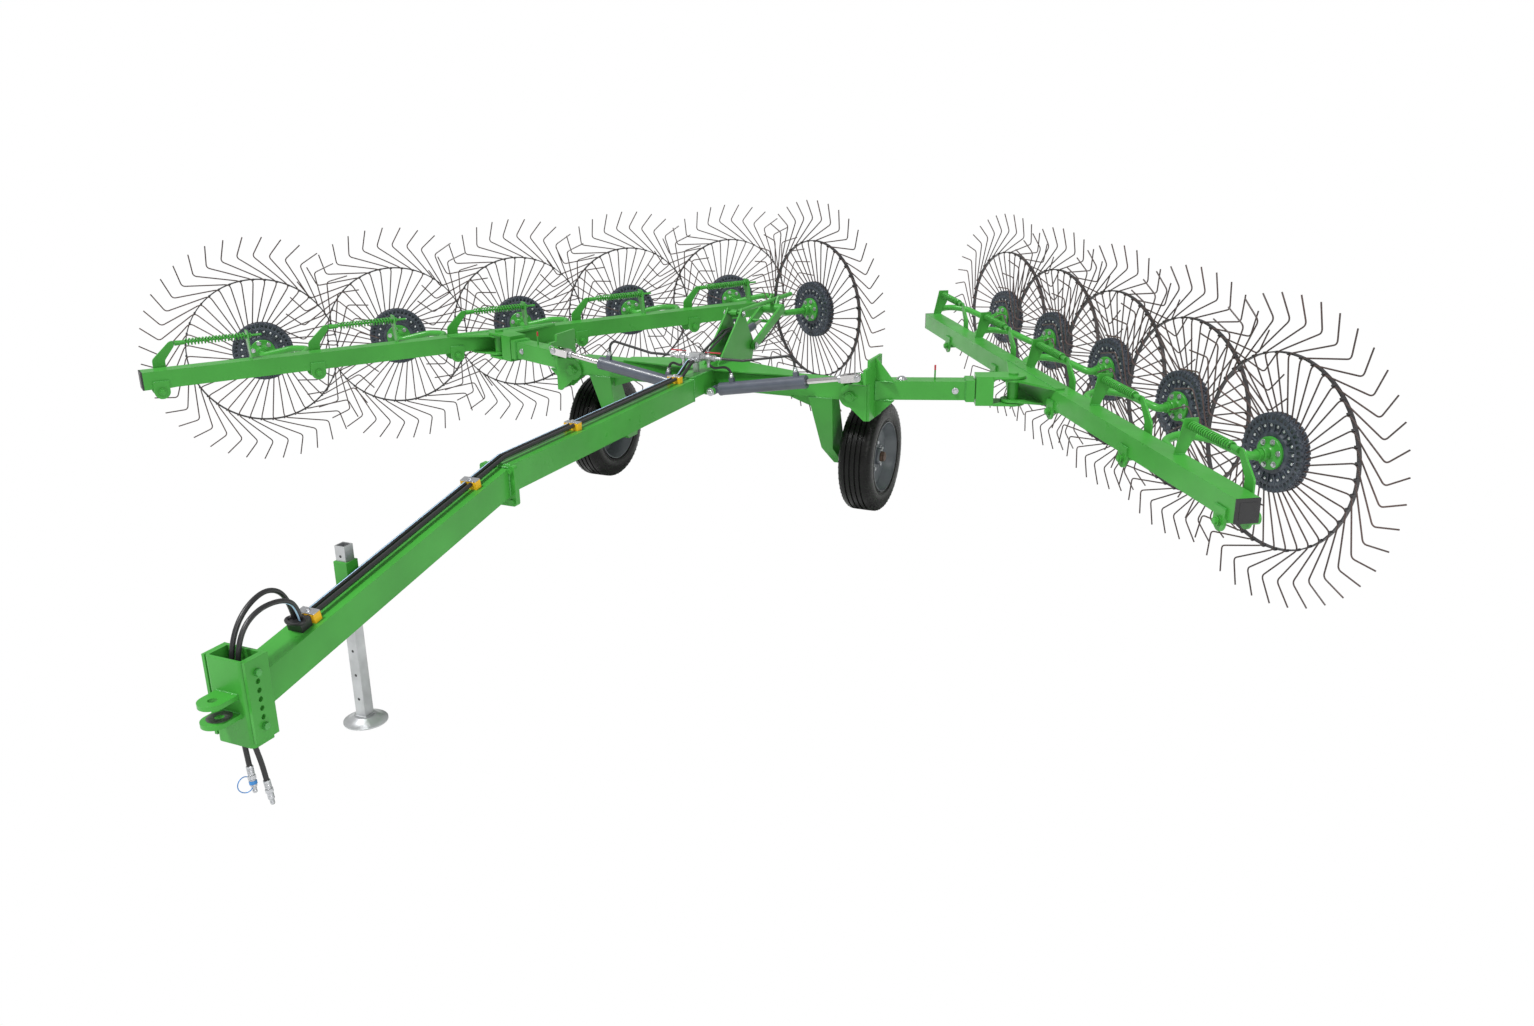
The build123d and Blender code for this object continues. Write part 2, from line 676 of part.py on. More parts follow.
with BuildPart() as lift_arm:
    with Locations((shield_x + SHIELD_T / 2, shield_mid_y, shield_mid_z)):
        Box(SHIELD_T, SHIELD_BACK_Y - SHIELD_FRONT_Y, SHIELD_TOP_Z - SHIELD_LOW_Z)
    for ear_y in (ear_front_y, ear_back_y):
        with BuildSketch(Plane((0, ear_y, 0), x_dir=(1, 0, 0), z_dir=(0, -1, 0))):
            with BuildLine():
                Polyline(
                    (HINGE_X, HINGE_Z + HINGE_EAR_R),
                    (shield_x, HINGE_Z + HINGE_EAR_R),
                    (shield_x, SHIELD_LOW_Z),
                    (shield_x - SHIELD_T, SHIELD_LOW_Z),
                    (HINGE_X, HINGE_Z - HINGE_EAR_R),
                    close=True,
                )
            make_face()
            with Locations((HINGE_X, HINGE_Z)):
                Circle(HINGE_EAR_R)
        extrude(amount=-HINGE_EAR_T)
    pin_start = Plane((HINGE_X, ear_front_y, HINGE_Z), x_dir=(1, 0, 0), z_dir=(0, 1, 0))
    with BuildSketch(pin_start):
        Circle(HINGE_PIN_R)
    extrude(amount=ear_back_y + HINGE_EAR_T - ear_front_y)
    with BuildSketch(pin_start):
        Circle(HINGE_HEAD_R)
    extrude(amount=-HINGE_EAR_T)
    slant = ARM_TUBE / 2 / cos(arm_turn)
    with BuildSketch(Plane.XY.offset(cross_mid_z - ARM_TUBE / 2)):
        with BuildLine():
            Polyline(
                (ARM_START_X, ARM_START_Y - slant),
                (ARM_START_X, ARM_START_Y + slant),
                tuple(along_arm(arm_l, ARM_TUBE / 2))[:2],
                tuple(along_arm(arm_l, -ARM_TUBE / 2))[:2],
                close=True,
            )
        make_face()
    extrude(amount=ARM_TUBE)
    with BuildSketch(across_arm(arm_l)):
        Rectangle(COLLAR, COLLAR)
    extrude(amount=-COLLAR_L)
    with BuildSketch(across_arm(arm_l)):
        Rectangle(ARM_TUBE - 2 * ARM_WALL, ARM_TUBE - 2 * ARM_WALL)
    extrude(amount=ARM_TUBE / 2 - arm_l, mode=Mode.SUBTRACT)
    with BuildSketch(Plane.XZ.offset(-shield_mid_y - GUSSET_T / 2)):
        for way, peak in ((1, SHIELD_TOP_Z), (-1, SHIELD_LOW_Z)):
            low = cross_mid_z + way * ARM_TUBE / 2
            gusset_tip = (ARM_START_X + GUSSET_REACH, low)
            with BuildLine():
                Polyline((ARM_START_X, low), (ARM_START_X, peak), gusset_tip, close=True)
            make_face()
    extrude(amount=GUSSET_T)
    with Locations((shield_x + SHIELD_T / 2, (RAM_Y + SHIELD_FRONT_Y - LUG_T / 2) / 2, RAM_EYE_Z)):
        Box(SHIELD_T, SHIELD_FRONT_Y - RAM_Y + LUG_T / 2, FORK_H * 2)
    with BuildSketch(Plane((0, RAM_Y - LUG_T / 2, 0), x_dir=(1, 0, 0), z_dir=(0, -1, 0))):
        with Locations((RAM_EYE_X, RAM_EYE_Z)):
            Circle(FORK_H / 2)
        with Locations(((RAM_EYE_X + shield_x) / 2, RAM_EYE_Z)):
            Rectangle(shield_x - RAM_EYE_X, FORK_H)
        with Locations((RAM_EYE_X, RAM_EYE_Z)):
            Circle(RAM_PIN_R + RUNNING, mode=Mode.SUBTRACT)
    extrude(amount=-LUG_T)
keep_pair("lift_arm", lift_arm.part)

# Lift ram: barrel with a base eye, and a chrome rod with a forged fork
ram_span = Vector(RAM_EYE_X - RAM_BASE_X, 0, RAM_EYE_Z - RAM_BASE_Z)
ram_dir = ram_span.normalized()
ram_l = ram_span.length
ram_base = Vector(RAM_BASE_X, RAM_Y, RAM_BASE_Z)
neck = RAM_PIN_R * 2.4


def across_ram(distance):
    """The plane square to the left ram at a distance from its base pin."""
    return Plane(ram_base + ram_dir * distance, x_dir=(0, 1, 0), z_dir=ram_dir)


with BuildPart() as ram_barrel:
    with BuildSketch(Plane((0, RAM_Y - lug_inner, 0), x_dir=(1, 0, 0), z_dir=(0, -1, 0))):
        with Locations((RAM_BASE_X, RAM_BASE_Z)):
            Circle(neck * 0.8)
    extrude(amount=-FORK_W)
    with BuildSketch(across_ram(0)):
        Rectangle(FORK_W, FORK_H * 0.8)
    extrude(amount=neck * 1.4)
    with BuildSketch(across_ram(neck)):
        Circle(RAM_BARREL_R)
    extrude(amount=RAM_BARREL_L - neck)
    with BuildSketch(across_ram(RAM_BARREL_L)):
        Circle(RAM_ROD_R + RUNNING)
    extrude(amount=neck * 2.5 - RAM_BARREL_L, mode=Mode.SUBTRACT)
    with Locations(Plane(ram_base, x_dir=(1, 0, 0), z_dir=(0, 1, 0))):
        Cylinder(RAM_PIN_R + RUNNING, FORK_W + OVERRUN, mode=Mode.SUBTRACT)
    for port in PORTS:
        with BuildSketch(across_ram(port)):
            with Locations((0, RAM_BARREL_R + PORT_H / 4)):
                Rectangle(PORT_W, 1.5 * PORT_H)
        extrude(amount=PORT_W)
keep_pair("lift_barrel", ram_barrel.part)

fork_start = ram_l - FORK_L
rod_in = RAM_BARREL_L * 0.62
with BuildPart() as ram_rod:
    with BuildSketch(across_ram(rod_in)):
        Circle(RAM_ROD_R)
    extrude(amount=fork_start - rod_in)
    with BuildSketch(across_ram(fork_start)):
        Rectangle(FORK_W, FORK_H)
    extrude(amount=FORK_L)
    with BuildSketch(Plane((0, RAM_Y - lug_inner, 0), x_dir=(1, 0, 0), z_dir=(0, -1, 0))):
        with Locations((RAM_EYE_X, RAM_EYE_Z)):
            Circle(FORK_H / 2)
    extrude(amount=-FORK_W)
    with BuildSketch(across_ram(ram_l - FORK_THROAT)):
        Rectangle(LUG_T + 2 * SIDE_PLAY, FORK_H * 2)
    extrude(amount=FORK_THROAT * 2, mode=Mode.SUBTRACT)
    for side in (-1, 1):
        start = (RAM_EYE_X, RAM_Y + side * (LUG_T / 2 + SIDE_PLAY), RAM_EYE_Z)
        with BuildSketch(Plane(start, x_dir=(1, 0, 0), z_dir=(0, side, 0))):
            Circle(RAM_PIN_R)
        extrude(amount=lug_inner - SIDE_PLAY)
keep_pair("lift_rod", ram_rod.part)

# Arm extension: a tube that slides in the lift arm, and the fork that carries the beam
pin_along = (Vector(FORK_PIN_X, FORK_PIN_Y, cross_mid_z) - arm_start).dot(arm_dir)
fork_pin = along_arm(pin_along)
head_start = arm_l + SIDE_PLAY
head_end = head_start + FORK_HEAD_L
bracket_top = BEAM_LOW_Z + BEAM + BRACKET_T
fork_gap = RUNNING * 4
fork_high = bracket_top - cross_mid_z + fork_gap
with BuildPart() as arm_extension:
    with BuildSketch(across_arm(arm_l - EXT_INSERT)):
        Rectangle(EXT_TUBE, EXT_TUBE)
        Rectangle(EXT_TUBE - 2 * EXT_WALL, EXT_TUBE - 2 * EXT_WALL, mode=Mode.SUBTRACT)
    extrude(amount=EXT_INSERT + SIDE_PLAY + EXT_WALL)
    with BuildSketch(across_arm(head_start)):
        Rectangle(FORK_HEAD_W, 2 * (fork_high + FORK_PLATE_T))
    extrude(amount=FORK_HEAD_L)
    for plate_low in (fork_high, -fork_high - FORK_PLATE_T):
        with BuildSketch(Plane(along_arm(0, 0, plate_low), x_dir=arm_dir, z_dir=(0, 0, 1))):
            with Locations(((head_end + pin_along) / 2, 0)):
                Rectangle(pin_along - head_end, FORK_PLATE_W)
            with Locations((pin_along, 0)):
                Circle(FORK_PLATE_W / 2)
        extrude(amount=FORK_PLATE_T)
    pin_low = fork_high + FORK_PLATE_T
    with BuildSketch(Plane(fork_pin - UP * pin_low, x_dir=(1, 0, 0), z_dir=(0, 0, 1))):
        Circle(FORK_PIN_R)
    extrude(amount=2 * pin_low)
    for side in (-1, 1):
        with BuildSketch(Plane(fork_pin + UP * side * pin_low, x_dir=(1, 0, 0), z_dir=(0, 0, side))):
            Circle(FORK_PIN_R * 1.7)
        extrude(amount=FORK_PLATE_T)
keep_pair("arm_extension", arm_extension.part)

# Rake beam: square tube, pivot ears on both faces, bracket for the fork pin, spring stops
beam_mid = BEAM_FACE + BEAM / 2
beam_mid_z = BEAM_LOW_Z + BEAM / 2
beam_l = BEAM_LEAD + PIVOT_PITCH * (PIVOTS - 1) + BEAM_TAIL
pivot_alongs = [PIVOT_PITCH * index for index in range(PIVOTS)]
pin_on_bank = fork_pin - FIRST_PIVOT
bracket_along = pin_on_bank.dot(ALONG)
bracket_out = pin_on_bank.dot(OUT)
ear_faces = (BEAM_FACE - PIVOT_EAR_T, BEAM_FACE + BEAM)


def out_plane(along, out, height):
    """A plane that looks outboard, with its x axis along the beam and its y axis up."""
    return Plane(on_bank(along, out, height), x_dir=ALONG, z_dir=OUT)


def rear_plane(along, out, height):
    """A plane square to the beam that looks to the rear, with its x axis inboard and its y axis up."""
    return Plane(on_bank(along, out, height), x_dir=OUT * -1, z_dir=ALONG)


spring_out = BEAM_FACE + BEAM + PIVOT_EAR_T + SEAT + LEVER_T / 2
spring_rise = LEVER_TOP_Z - BEAM_LOW_Z - BEAM
stop_side = [  # outboard from the pivot line, height above the beam
    (beam_mid, 0),
    (BEAM_FACE + BEAM, 0),
    (spring_out + STOP_W / 2, spring_rise - STOP_W / 2),
    (spring_out + STOP_W / 2, spring_rise + STOP_W / 2),
    (spring_out - STOP_W / 2, spring_rise + STOP_W / 2),
]
with BuildPart() as rake_beam:
    with BuildSketch(Plane(on_bank(-BEAM_LEAD, beam_mid, beam_mid_z), x_dir=OUT, z_dir=ALONG)):
        Rectangle(BEAM, BEAM)
        Rectangle(BEAM - 2 * BEAM_WALL, BEAM - 2 * BEAM_WALL, mode=Mode.SUBTRACT)
    extrude(amount=beam_l)
    for along in pivot_alongs:
        for face in ear_faces:
            with BuildSketch(out_plane(along, face, PIVOT_Z)):
                Circle(PIVOT_EAR_R)
                with Locations((0, (BEAM_LOW_Z - PIVOT_Z + PIVOT_EAR_R) / 2)):
                    Rectangle(2 * PIVOT_EAR_R, BEAM_LOW_Z - PIVOT_Z + PIVOT_EAR_R)
                Circle(PIVOT_R + SEAT, mode=Mode.SUBTRACT)
            extrude(amount=PIVOT_EAR_T)
        with BuildSketch(rear_plane(along + SPRING_STOP, 0, BEAM_LOW_Z + BEAM)):
            with BuildLine():
                Polyline(*[(-out, rise) for out, rise in stop_side], close=True)
            make_face()
            with Locations((-spring_out, LEVER_TOP_Z - BEAM_LOW_Z - BEAM)):
                Circle(ROD_R + SEAT, mode=Mode.SUBTRACT)
        extrude(amount=STOP_T)
    for plate_z, ahead in ((BEAM_LOW_Z + BEAM, BRACKET_AHEAD), (BEAM_LOW_Z - BRACKET_T, BRACKET_LOW_AHEAD)):
        with BuildSketch(Plane(on_bank(bracket_along, 0, plate_z), x_dir=ALONG, z_dir=(0, 0, 1))):
            with BuildLine():
                Polyline(
                    (-ahead, -BEAM_FACE),
                    (-FORK_PLATE_W / 2, -bracket_out),
                    (FORK_PLATE_W / 2, -bracket_out),
                    (BRACKET_BEHIND, -BEAM_FACE),
                    (BRACKET_BEHIND, -beam_mid),
                    (-ahead, -beam_mid),
                    close=True,
                )
            make_face()
            with Locations((0, -bracket_out)):
                Circle(FORK_PLATE_W / 2 - RUNNING)
        extrude(amount=BRACKET_T)
    with BuildSketch(Plane(fork_pin - UP * BEAM / 2, x_dir=(1, 0, 0), z_dir=(0, 0, 1))):
        Circle(FORK_PIN_R * 2)
    extrude(amount=BEAM)
    with Locations(Plane(fork_pin, x_dir=(1, 0, 0), z_dir=(0, 0, 1))):
        Cylinder(FORK_PIN_R + RUNNING, BEAM + 4 * BRACKET_T, mode=Mode.SUBTRACT)
keep_pair("rake_beam", rake_beam.part)

# End caps of the beams
with BuildPart() as beam_caps:
    for cap_along in (-BEAM_LEAD - CAP_T, beam_l - BEAM_LEAD):
        with BuildSketch(Plane(on_bank(cap_along, beam_mid, beam_mid_z), x_dir=OUT, z_dir=ALONG)):
            Rectangle(BEAM, BEAM)
        extrude(amount=CAP_T)
keep_pair("beam_caps", beam_caps.part)

# Wheel arms: pivot shaft, cranked round tube to the hub, lever to the spring
wheel_axis = Vector(sin(radians(WHEEL_TURN)), cos(radians(WHEEL_TURN)), 0)
wheel_right = Vector(cos(radians(WHEEL_TURN)), -sin(radians(WHEEL_TURN)), 0)
hub_boss_gap = HUB_BOSS_L + SIDE_PLAY
arm_route = [  # along the beam, outboard, height
    (0, ARM_LINE, PIVOT_Z),
    (SPRING_STOP, ARM_LINE, PIVOT_Z + 2 * TUBE_R),
    (HUB_ALONG * 1.22, ARM_LINE + TUBE_R, HUB_Z + 2 * TUBE_R),
    (HUB_ALONG * 1.33, ARM_LINE + HUB_OUT * 0.24, HUB_Z + 2.4 * TUBE_R),
    (HUB_ALONG * 1.22, HUB_OUT * 0.68, HUB_Z + 2 * TUBE_R),
]
lever_rise = LEVER_TOP_Z - PIVOT_Z
lever_side = [  # along the beam from the pivot, height above it
    (-PIVOT_R * 1.8, 0),
    (-PIVOT_R, lever_rise * 0.65),
    (LEVER_TOP_ALONG - PIVOT_R, lever_rise + PIVOT_R),
    (LEVER_TOP_ALONG + PIVOT_R, lever_rise + PIVOT_R),
    (LEVER_TOP_ALONG + PIVOT_R, lever_rise - PIVOT_R),
    (PIVOT_R * 3.2, lever_rise * 0.6),
    (PIVOT_R * 1.8, 0),
]
with BuildPart() as wheel_arms:
    for along in pivot_alongs:
        hub = on_bank(along + HUB_ALONG, HUB_OUT, HUB_Z)
        route = [on_bank(along + a, out, height) for a, out, height in arm_route]
        route += [hub - wheel_axis * (hub_boss_gap + 3 * TUBE_R), hub - wheel_axis * hub_boss_gap]
        with BuildLine():
            path = Polyline(*route)
        with BuildSketch(Plane(path @ 0, z_dir=path % 0)):
            RegularPolygon(TUBE_R, 8)
            RegularPolygon(TUBE_R - TUBE_WALL, 8, mode=Mode.SUBTRACT)
        sweep(path=path, transition=Transition.RIGHT)
        with BuildSketch(Plane(hub - wheel_axis * hub_boss_gap, z_dir=wheel_axis)):
            Circle(AXLE_R)
        extrude(amount=hub_boss_gap + AXLE_IN - HUB_BOSS_L)
        with BuildSketch(out_plane(along, BEAM_FACE - PIVOT_EAR_T * 2, PIVOT_Z)):
            Circle(PIVOT_R)
        extrude(amount=ARM_LINE - BEAM_FACE + PIVOT_EAR_T * 2)
        with BuildSketch(out_plane(along, BEAM_FACE - PIVOT_EAR_T - SEAT, PIVOT_Z)):
            Circle(PIVOT_R * 1.6)
        extrude(amount=-PIVOT_EAR_T)
        with BuildSketch(out_plane(along, BEAM_FACE + BEAM + PIVOT_EAR_T + SEAT, PIVOT_Z)):
            with BuildLine():
                Polyline(*lever_side, close=True)
            make_face()
            Circle(PIVOT_R * 1.8)
        extrude(amount=LEVER_T)
keep_pair("wheel_arms", wheel_arms.part)

# Springs: rod from the lever through the stop, with the coil between them
spring_runs = (  # start and end along the beam, radius, sides
    (LEVER_TOP_ALONG + PIVOT_R + SEAT, SPRING_START, 2 * ROD_R, 8),
    (SPRING_START, SPRING_STOP - SEAT, SPRING_R, 8),
    (SPRING_STOP - SEAT, ROD_END, ROD_R, 8),
    (SPRING_STOP + STOP_T + SEAT, SPRING_STOP + STOP_T + SEAT + NUT_L, NUT_R, 6),
)
with BuildPart() as springs:
    for along in pivot_alongs:
        for start, end, radius, sides in spring_runs:
            with BuildSketch(rear_plane(along + start, spring_out, LEVER_TOP_Z)):
                RegularPolygon(radius, sides)
            extrude(amount=end - start)
keep_pair("springs", springs.part)

# Finger wheel, flat at its hub: dished disc, hub, cranked tines, and the hoop behind them
root = polar(ROOT_R, -ROOT_TURN)
bends = [root, polar(HOOP_R, 0), polar(ELBOW_R, -ELBOW_TURN), polar(TIP_R, -TIP_TURN)]
tine_route = [Vector(x, y, -TINE_BACK) for x, y in bends]
disc_front = DISC_HALF_T - TINE_BACK
disc_back = -DISC_HALF_T - TINE_BACK
with BuildPart() as finger_wheel:
    with BuildLine():
        tine_line = Polyline(*tine_route)
    with BuildSketch(Plane(tine_route[0], z_dir=tine_route[1] - tine_route[0])):
        RegularPolygon(WIRE / 2 * 1.2, 3)
    sweep(path=tine_line, transition=Transition.RIGHT)
    tine = finger_wheel.part
with BuildPart() as finger_disc:
    with BuildSketch(Plane.XY.offset(disc_back)):
        RegularPolygon(DISC_R, TINES, rotation=-ROOT_TURN)
    extrude(amount=disc_front - disc_back)
    with BuildSketch(Plane.XY.offset(disc_back)):
        RegularPolygon(DISC_R - DISC_WALL, TINES // 2)
        Circle(DISC_CORE_R, mode=Mode.SUBTRACT)
    extrude(amount=disc_front - disc_back - DISC_WALL, mode=Mode.SUBTRACT)
    with BuildSketch(Plane.XY.offset(disc_front)):
        Circle(HUB_FLANGE_R)
    extrude(amount=HUB_FLANGE_T)
    with BuildSketch(Plane.XY.offset(disc_front)):
        Circle(HUB_BOSS_R)
    extrude(amount=HUB_BOSS_L - disc_front)
    with BuildSketch(Plane.XY.offset(HUB_BOSS_L - AXLE_IN - RUNNING)):
        Circle(AXLE_R + RUNNING)
    extrude(amount=AXLE_IN + RUNNING, mode=Mode.SUBTRACT)
    for index in range(TINES):
        add(tine.rotate(Axis.Z, 360 / TINES * index))
with BuildPart() as hoop:
    with BuildSketch(Plane.XY.offset(-TINE_BACK - WIRE / 2 - SEAT - HOOP_DEPTH)):
        RegularPolygon(HOOP_R + HOOP_RADIAL / 2, TINES)
        RegularPolygon(HOOP_R - HOOP_RADIAL / 2, TINES, mode=Mode.SUBTRACT)
    extrude(amount=HOOP_DEPTH)
wheel_places = [on_bank(along + HUB_ALONG, HUB_OUT, HUB_Z) for along in pivot_alongs]
for number, place in enumerate(wheel_places, start=1):
    seat = Plane(place, x_dir=wheel_right, z_dir=-wheel_axis)
    with BuildPart() as placed:
        with Locations(seat.location):
            add(finger_disc.part)
            add(hoop.part)
    keep(f"finger_wheel_left_{number}", placed.part)
    with BuildPart() as twin:
        mirror(placed.part, about=Plane.YZ)
    keep(f"finger_wheel_right_{number}", twin.part)

# Centre wheel: the same finger wheel, raised behind the frame
centre_axis = Vector(sin(radians(CENTRE_TURN)), cos(radians(CENTRE_TURN)), 0)
centre_right = Vector(cos(radians(CENTRE_TURN)), -sin(radians(CENTRE_TURN)), 0)
centre_hub = Vector(*CENTRE_HUB)
with BuildPart() as centre_wheel:
    with Locations(Plane(centre_hub, x_dir=centre_right, z_dir=-centre_axis).location):
        add(finger_disc.part)
        add(hoop.part)
keep("finger_wheel_centre", centre_wheel.part)

# Mast: two plates on the frame that carry the boom, the link and the centre ram
mast_foot_z = CROSS_TOP_Z + DECK_T
with BuildPart() as centre_mast:
    for side in (-1, 1):
        with BuildSketch(Plane.YZ.offset(side * MAST_HALF - MAST_T / 2)):
            with BuildLine():
                Polyline(
                    (DECK_APEX_Y - 2 * CROSS, mast_foot_z),
                    (DECK_APEX_Y, mast_foot_z),
                    (DECK_APEX_Y, CROSS_TOP_Z - CROSS),
                    (BOOM_PIVOT_Y, CROSS_TOP_Z - CROSS / 2),
                    (BOOM_PIVOT_Y + 2.5 * BOOM_PIN_R, BOOM_PIVOT_Z),
                    (BOOM_PIVOT_Y, BOOM_PIVOT_Z + 3 * BOOM_PIN_R),
                    (LINK_Y + 2 * BOOM_PIN_R, LINK_Z),
                    (LINK_Y, LINK_Z + 2 * BOOM_PIN_R),
                    (LINK_Y - 2 * BOOM_PIN_R, LINK_Z),
                    close=True,
                )
            make_face()
        extrude(amount=MAST_T)
    pins = (  # y, z, radius, half length
        (LINK_Y, LINK_Z, BOOM_PIN_R * 0.7, MAST_HALF + MAST_T),
        (BOOM_PIVOT_Y, BOOM_PIVOT_Z, BOOM_PIN_R, MAST_HALF + MAST_T / 2 + BOOM_BAR_T + 2 * SIDE_PLAY),
        (CENTRE_RAM_LOW[0], CENTRE_RAM_LOW[1], BOOM_PIN_R * 0.7, MAST_HALF),
    )
    for pin_y, pin_z, radius, half in pins:
        with BuildSketch(Plane.YZ.offset(-half)):
            with Locations((pin_y, pin_z)):
                Circle(radius)
        extrude(amount=2 * half)
keep("centre_mast", centre_mast.part)

# Boom: two bars outside the mast, joined by the knee tube, and the bent spindle to the hub
bar_x = MAST_HALF + MAST_T / 2 + SIDE_PLAY + BOOM_BAR_T / 2
boom_run = Vector(0, KNEE_Y - BOOM_PIVOT_Y, KNEE_Z - BOOM_PIVOT_Z)
boom_turn = degrees(atan2(boom_run.Z, boom_run.Y))
boom_middle = ((BOOM_PIVOT_Y + KNEE_Y) / 2, (BOOM_PIVOT_Z + KNEE_Z) / 2)
with BuildPart() as centre_boom:
    for side in (-1, 1):
        with BuildSketch(Plane.YZ.offset(side * bar_x - BOOM_BAR_T / 2)):
            with Locations(Location((*boom_middle, 0), boom_turn)):
                SlotCenterToCenter(boom_run.length, BOOM_BAR_W)
            with Locations((BOOM_PIVOT_Y, BOOM_PIVOT_Z)):
                Circle(BOOM_PIN_R + RUNNING, mode=Mode.SUBTRACT)
        extrude(amount=BOOM_BAR_T)
        with BuildSketch(Plane.YZ.offset(side * (LINK_R + SIDE_PLAY + MAST_T / 2) - MAST_T / 2)):
            with BuildLine():
                Polyline(
                    (KNEE_Y - KNEE_R, KNEE_Z),
                    (KNEE_Y + KNEE_R, KNEE_Z),
                    (KNEE_Y + 2 * KNEE_R, LINK_Z + LINK_R),
                    (KNEE_Y + KNEE_R, LINK_Z + LINK_R),
                    close=True,
                )
            make_face()
        extrude(amount=MAST_T)
    with BuildSketch(Plane.YZ.offset(-bar_x - BOOM_BAR_T / 2)):
        with Locations((KNEE_Y, KNEE_Z)):
            Circle(KNEE_R)
    extrude(amount=2 * bar_x + BOOM_BAR_T)
    elbow = centre_hub - centre_axis * (hub_boss_gap + 8 * TUBE_R)
    with BuildLine():
        spindle_line = Polyline((0, KNEE_Y, KNEE_Z), elbow, centre_hub - centre_axis * hub_boss_gap)
    with BuildSketch(Plane(spindle_line @ 0, z_dir=spindle_line % 0)):
        Circle(TUBE_R)
    sweep(path=spindle_line, transition=Transition.RIGHT)
    with BuildSketch(Plane(centre_hub - centre_axis * hub_boss_gap, z_dir=centre_axis)):
        Circle(AXLE_R)
    extrude(amount=hub_boss_gap + AXLE_IN - HUB_BOSS_L)
    with BuildSketch(Plane.YZ.offset(-bar_x)):
        with Locations(CENTRE_RAM_HIGH):
            Circle(BOOM_PIN_R * 0.7)
    extrude(amount=2 * bar_x)
keep("centre_boom", centre_boom.part)

# Link rod above the boom
link_start = Vector(0, LINK_Y, LINK_Z)
link_end = Vector(0, LINK_END_Y, LINK_END_Z)
link_dir = (link_end - link_start).normalized()
with BuildPart() as centre_link:
    with BuildSketch(Plane.YZ.offset(-LINK_R * 1.4)):
        with Locations((LINK_Y, LINK_Z)):
            Circle(LINK_R * 1.6)
    extrude(amount=2 * LINK_R * 1.4)
    with BuildSketch(Plane(link_start, x_dir=(1, 0, 0), z_dir=link_dir)):
        Circle(LINK_R)
    extrude(amount=(link_end - link_start).length)
    with BuildSketch(Plane.YZ.offset(-OVERRUN)):
        with Locations((LINK_Y, LINK_Z)):
            Circle(BOOM_PIN_R * 0.7 + RUNNING)
    extrude(amount=2 * OVERRUN, mode=Mode.SUBTRACT)
keep("centre_link", centre_link.part)

# Centre ram: short barrel from the mast, rod to the boom's cross pin
centre_low = Vector(0, *CENTRE_RAM_LOW)
centre_high = Vector(0, *CENTRE_RAM_HIGH)
centre_ram_dir = (centre_high - centre_low).normalized()
centre_ram_l = (centre_high - centre_low).length


def across_centre_ram(distance):
    """The plane square to the centre ram at a distance from its base pin."""
    return Plane(centre_low + centre_ram_dir * distance, x_dir=(1, 0, 0), z_dir=centre_ram_dir)


with BuildPart() as centre_barrel:
    with BuildSketch(across_centre_ram(0)):
        Circle(CENTRE_RAM_R)
    extrude(amount=centre_ram_l * 0.62)
    with BuildSketch(Plane.YZ.offset(-CENTRE_RAM_R)):
        with Locations(CENTRE_RAM_LOW):
            Circle(CENTRE_RAM_R * 0.9)
    extrude(amount=2 * CENTRE_RAM_R)
    with BuildSketch(Plane.YZ.offset(-CENTRE_RAM_R - OVERRUN)):
        with Locations(CENTRE_RAM_LOW):
            Circle(BOOM_PIN_R * 0.7 + RUNNING)
    extrude(amount=2 * (CENTRE_RAM_R + OVERRUN), mode=Mode.SUBTRACT)
    with BuildSketch(across_centre_ram(2 * CENTRE_RAM_R)):
        Circle(CENTRE_ROD_R + RUNNING)
    extrude(amount=centre_ram_l, mode=Mode.SUBTRACT)
keep("centre_barrel", centre_barrel.part)

with BuildPart() as centre_rod:
    with BuildSketch(across_centre_ram(centre_ram_l * 0.35)):
        Circle(CENTRE_ROD_R)
    extrude(amount=centre_ram_l * 0.65 - BOOM_PIN_R * 0.7 - 4 * RUNNING)
keep("centre_rod", centre_rod.part)

# Hose clamps, the rubber boot, and the two hoses that lie along the drawbar
bar_top_back = bar_low + bar_tall
bar_back_y = BAR_FLANGE_Y - FLANGE_T


def over_bar(y, lift):
    """A point at a height square above the drawbar's top."""
    if y > BAR_FLANGE_Y:
        return Vector(0, y, BAR_TOP_Z + lift)
    top = bar_top_back - (bar_back_y - y) * sin(slope) / cos(slope)
    return Vector(0, y - lift * sin(slope), top + lift * cos(slope))


def square_to_bar(y, lift):
    """The plane square to the drawbar that looks forward, with its x axis across it."""
    tilt = slope if y < BAR_FLANGE_Y else 0
    return Plane(over_bar(y, lift), x_dir=(1, 0, 0), z_dir=(0, -cos(tilt), -sin(tilt)))


with BuildPart() as hose_clamps:
    for clamp_y in CLAMP_YS:
        with BuildSketch(square_to_bar(clamp_y, CLAMP_H / 2).offset(-CLAMP_L / 2)):
            Rectangle(CLAMP_W, CLAMP_H)
            with Locations((-HOSE_X, HOSE_LIFT - CLAMP_H / 2), (HOSE_X, HOSE_LIFT - CLAMP_H / 2)):
                RegularPolygon(HOSE_R + SEAT, 12, major_radius=False, mode=Mode.SUBTRACT)
        extrude(amount=CLAMP_L)
keep("hose_clamps", hose_clamps.part)

boot_plane = square_to_bar(BOOT_Y, BOOT_H / 2)
with BuildPart() as hose_boot:
    with BuildSketch(boot_plane.offset(-BOOT_L / 2)):
        Rectangle(BOOT_W, BOOT_H)
    extrude(amount=BOOT_L)
keep("hose_boot", hose_boot.part)

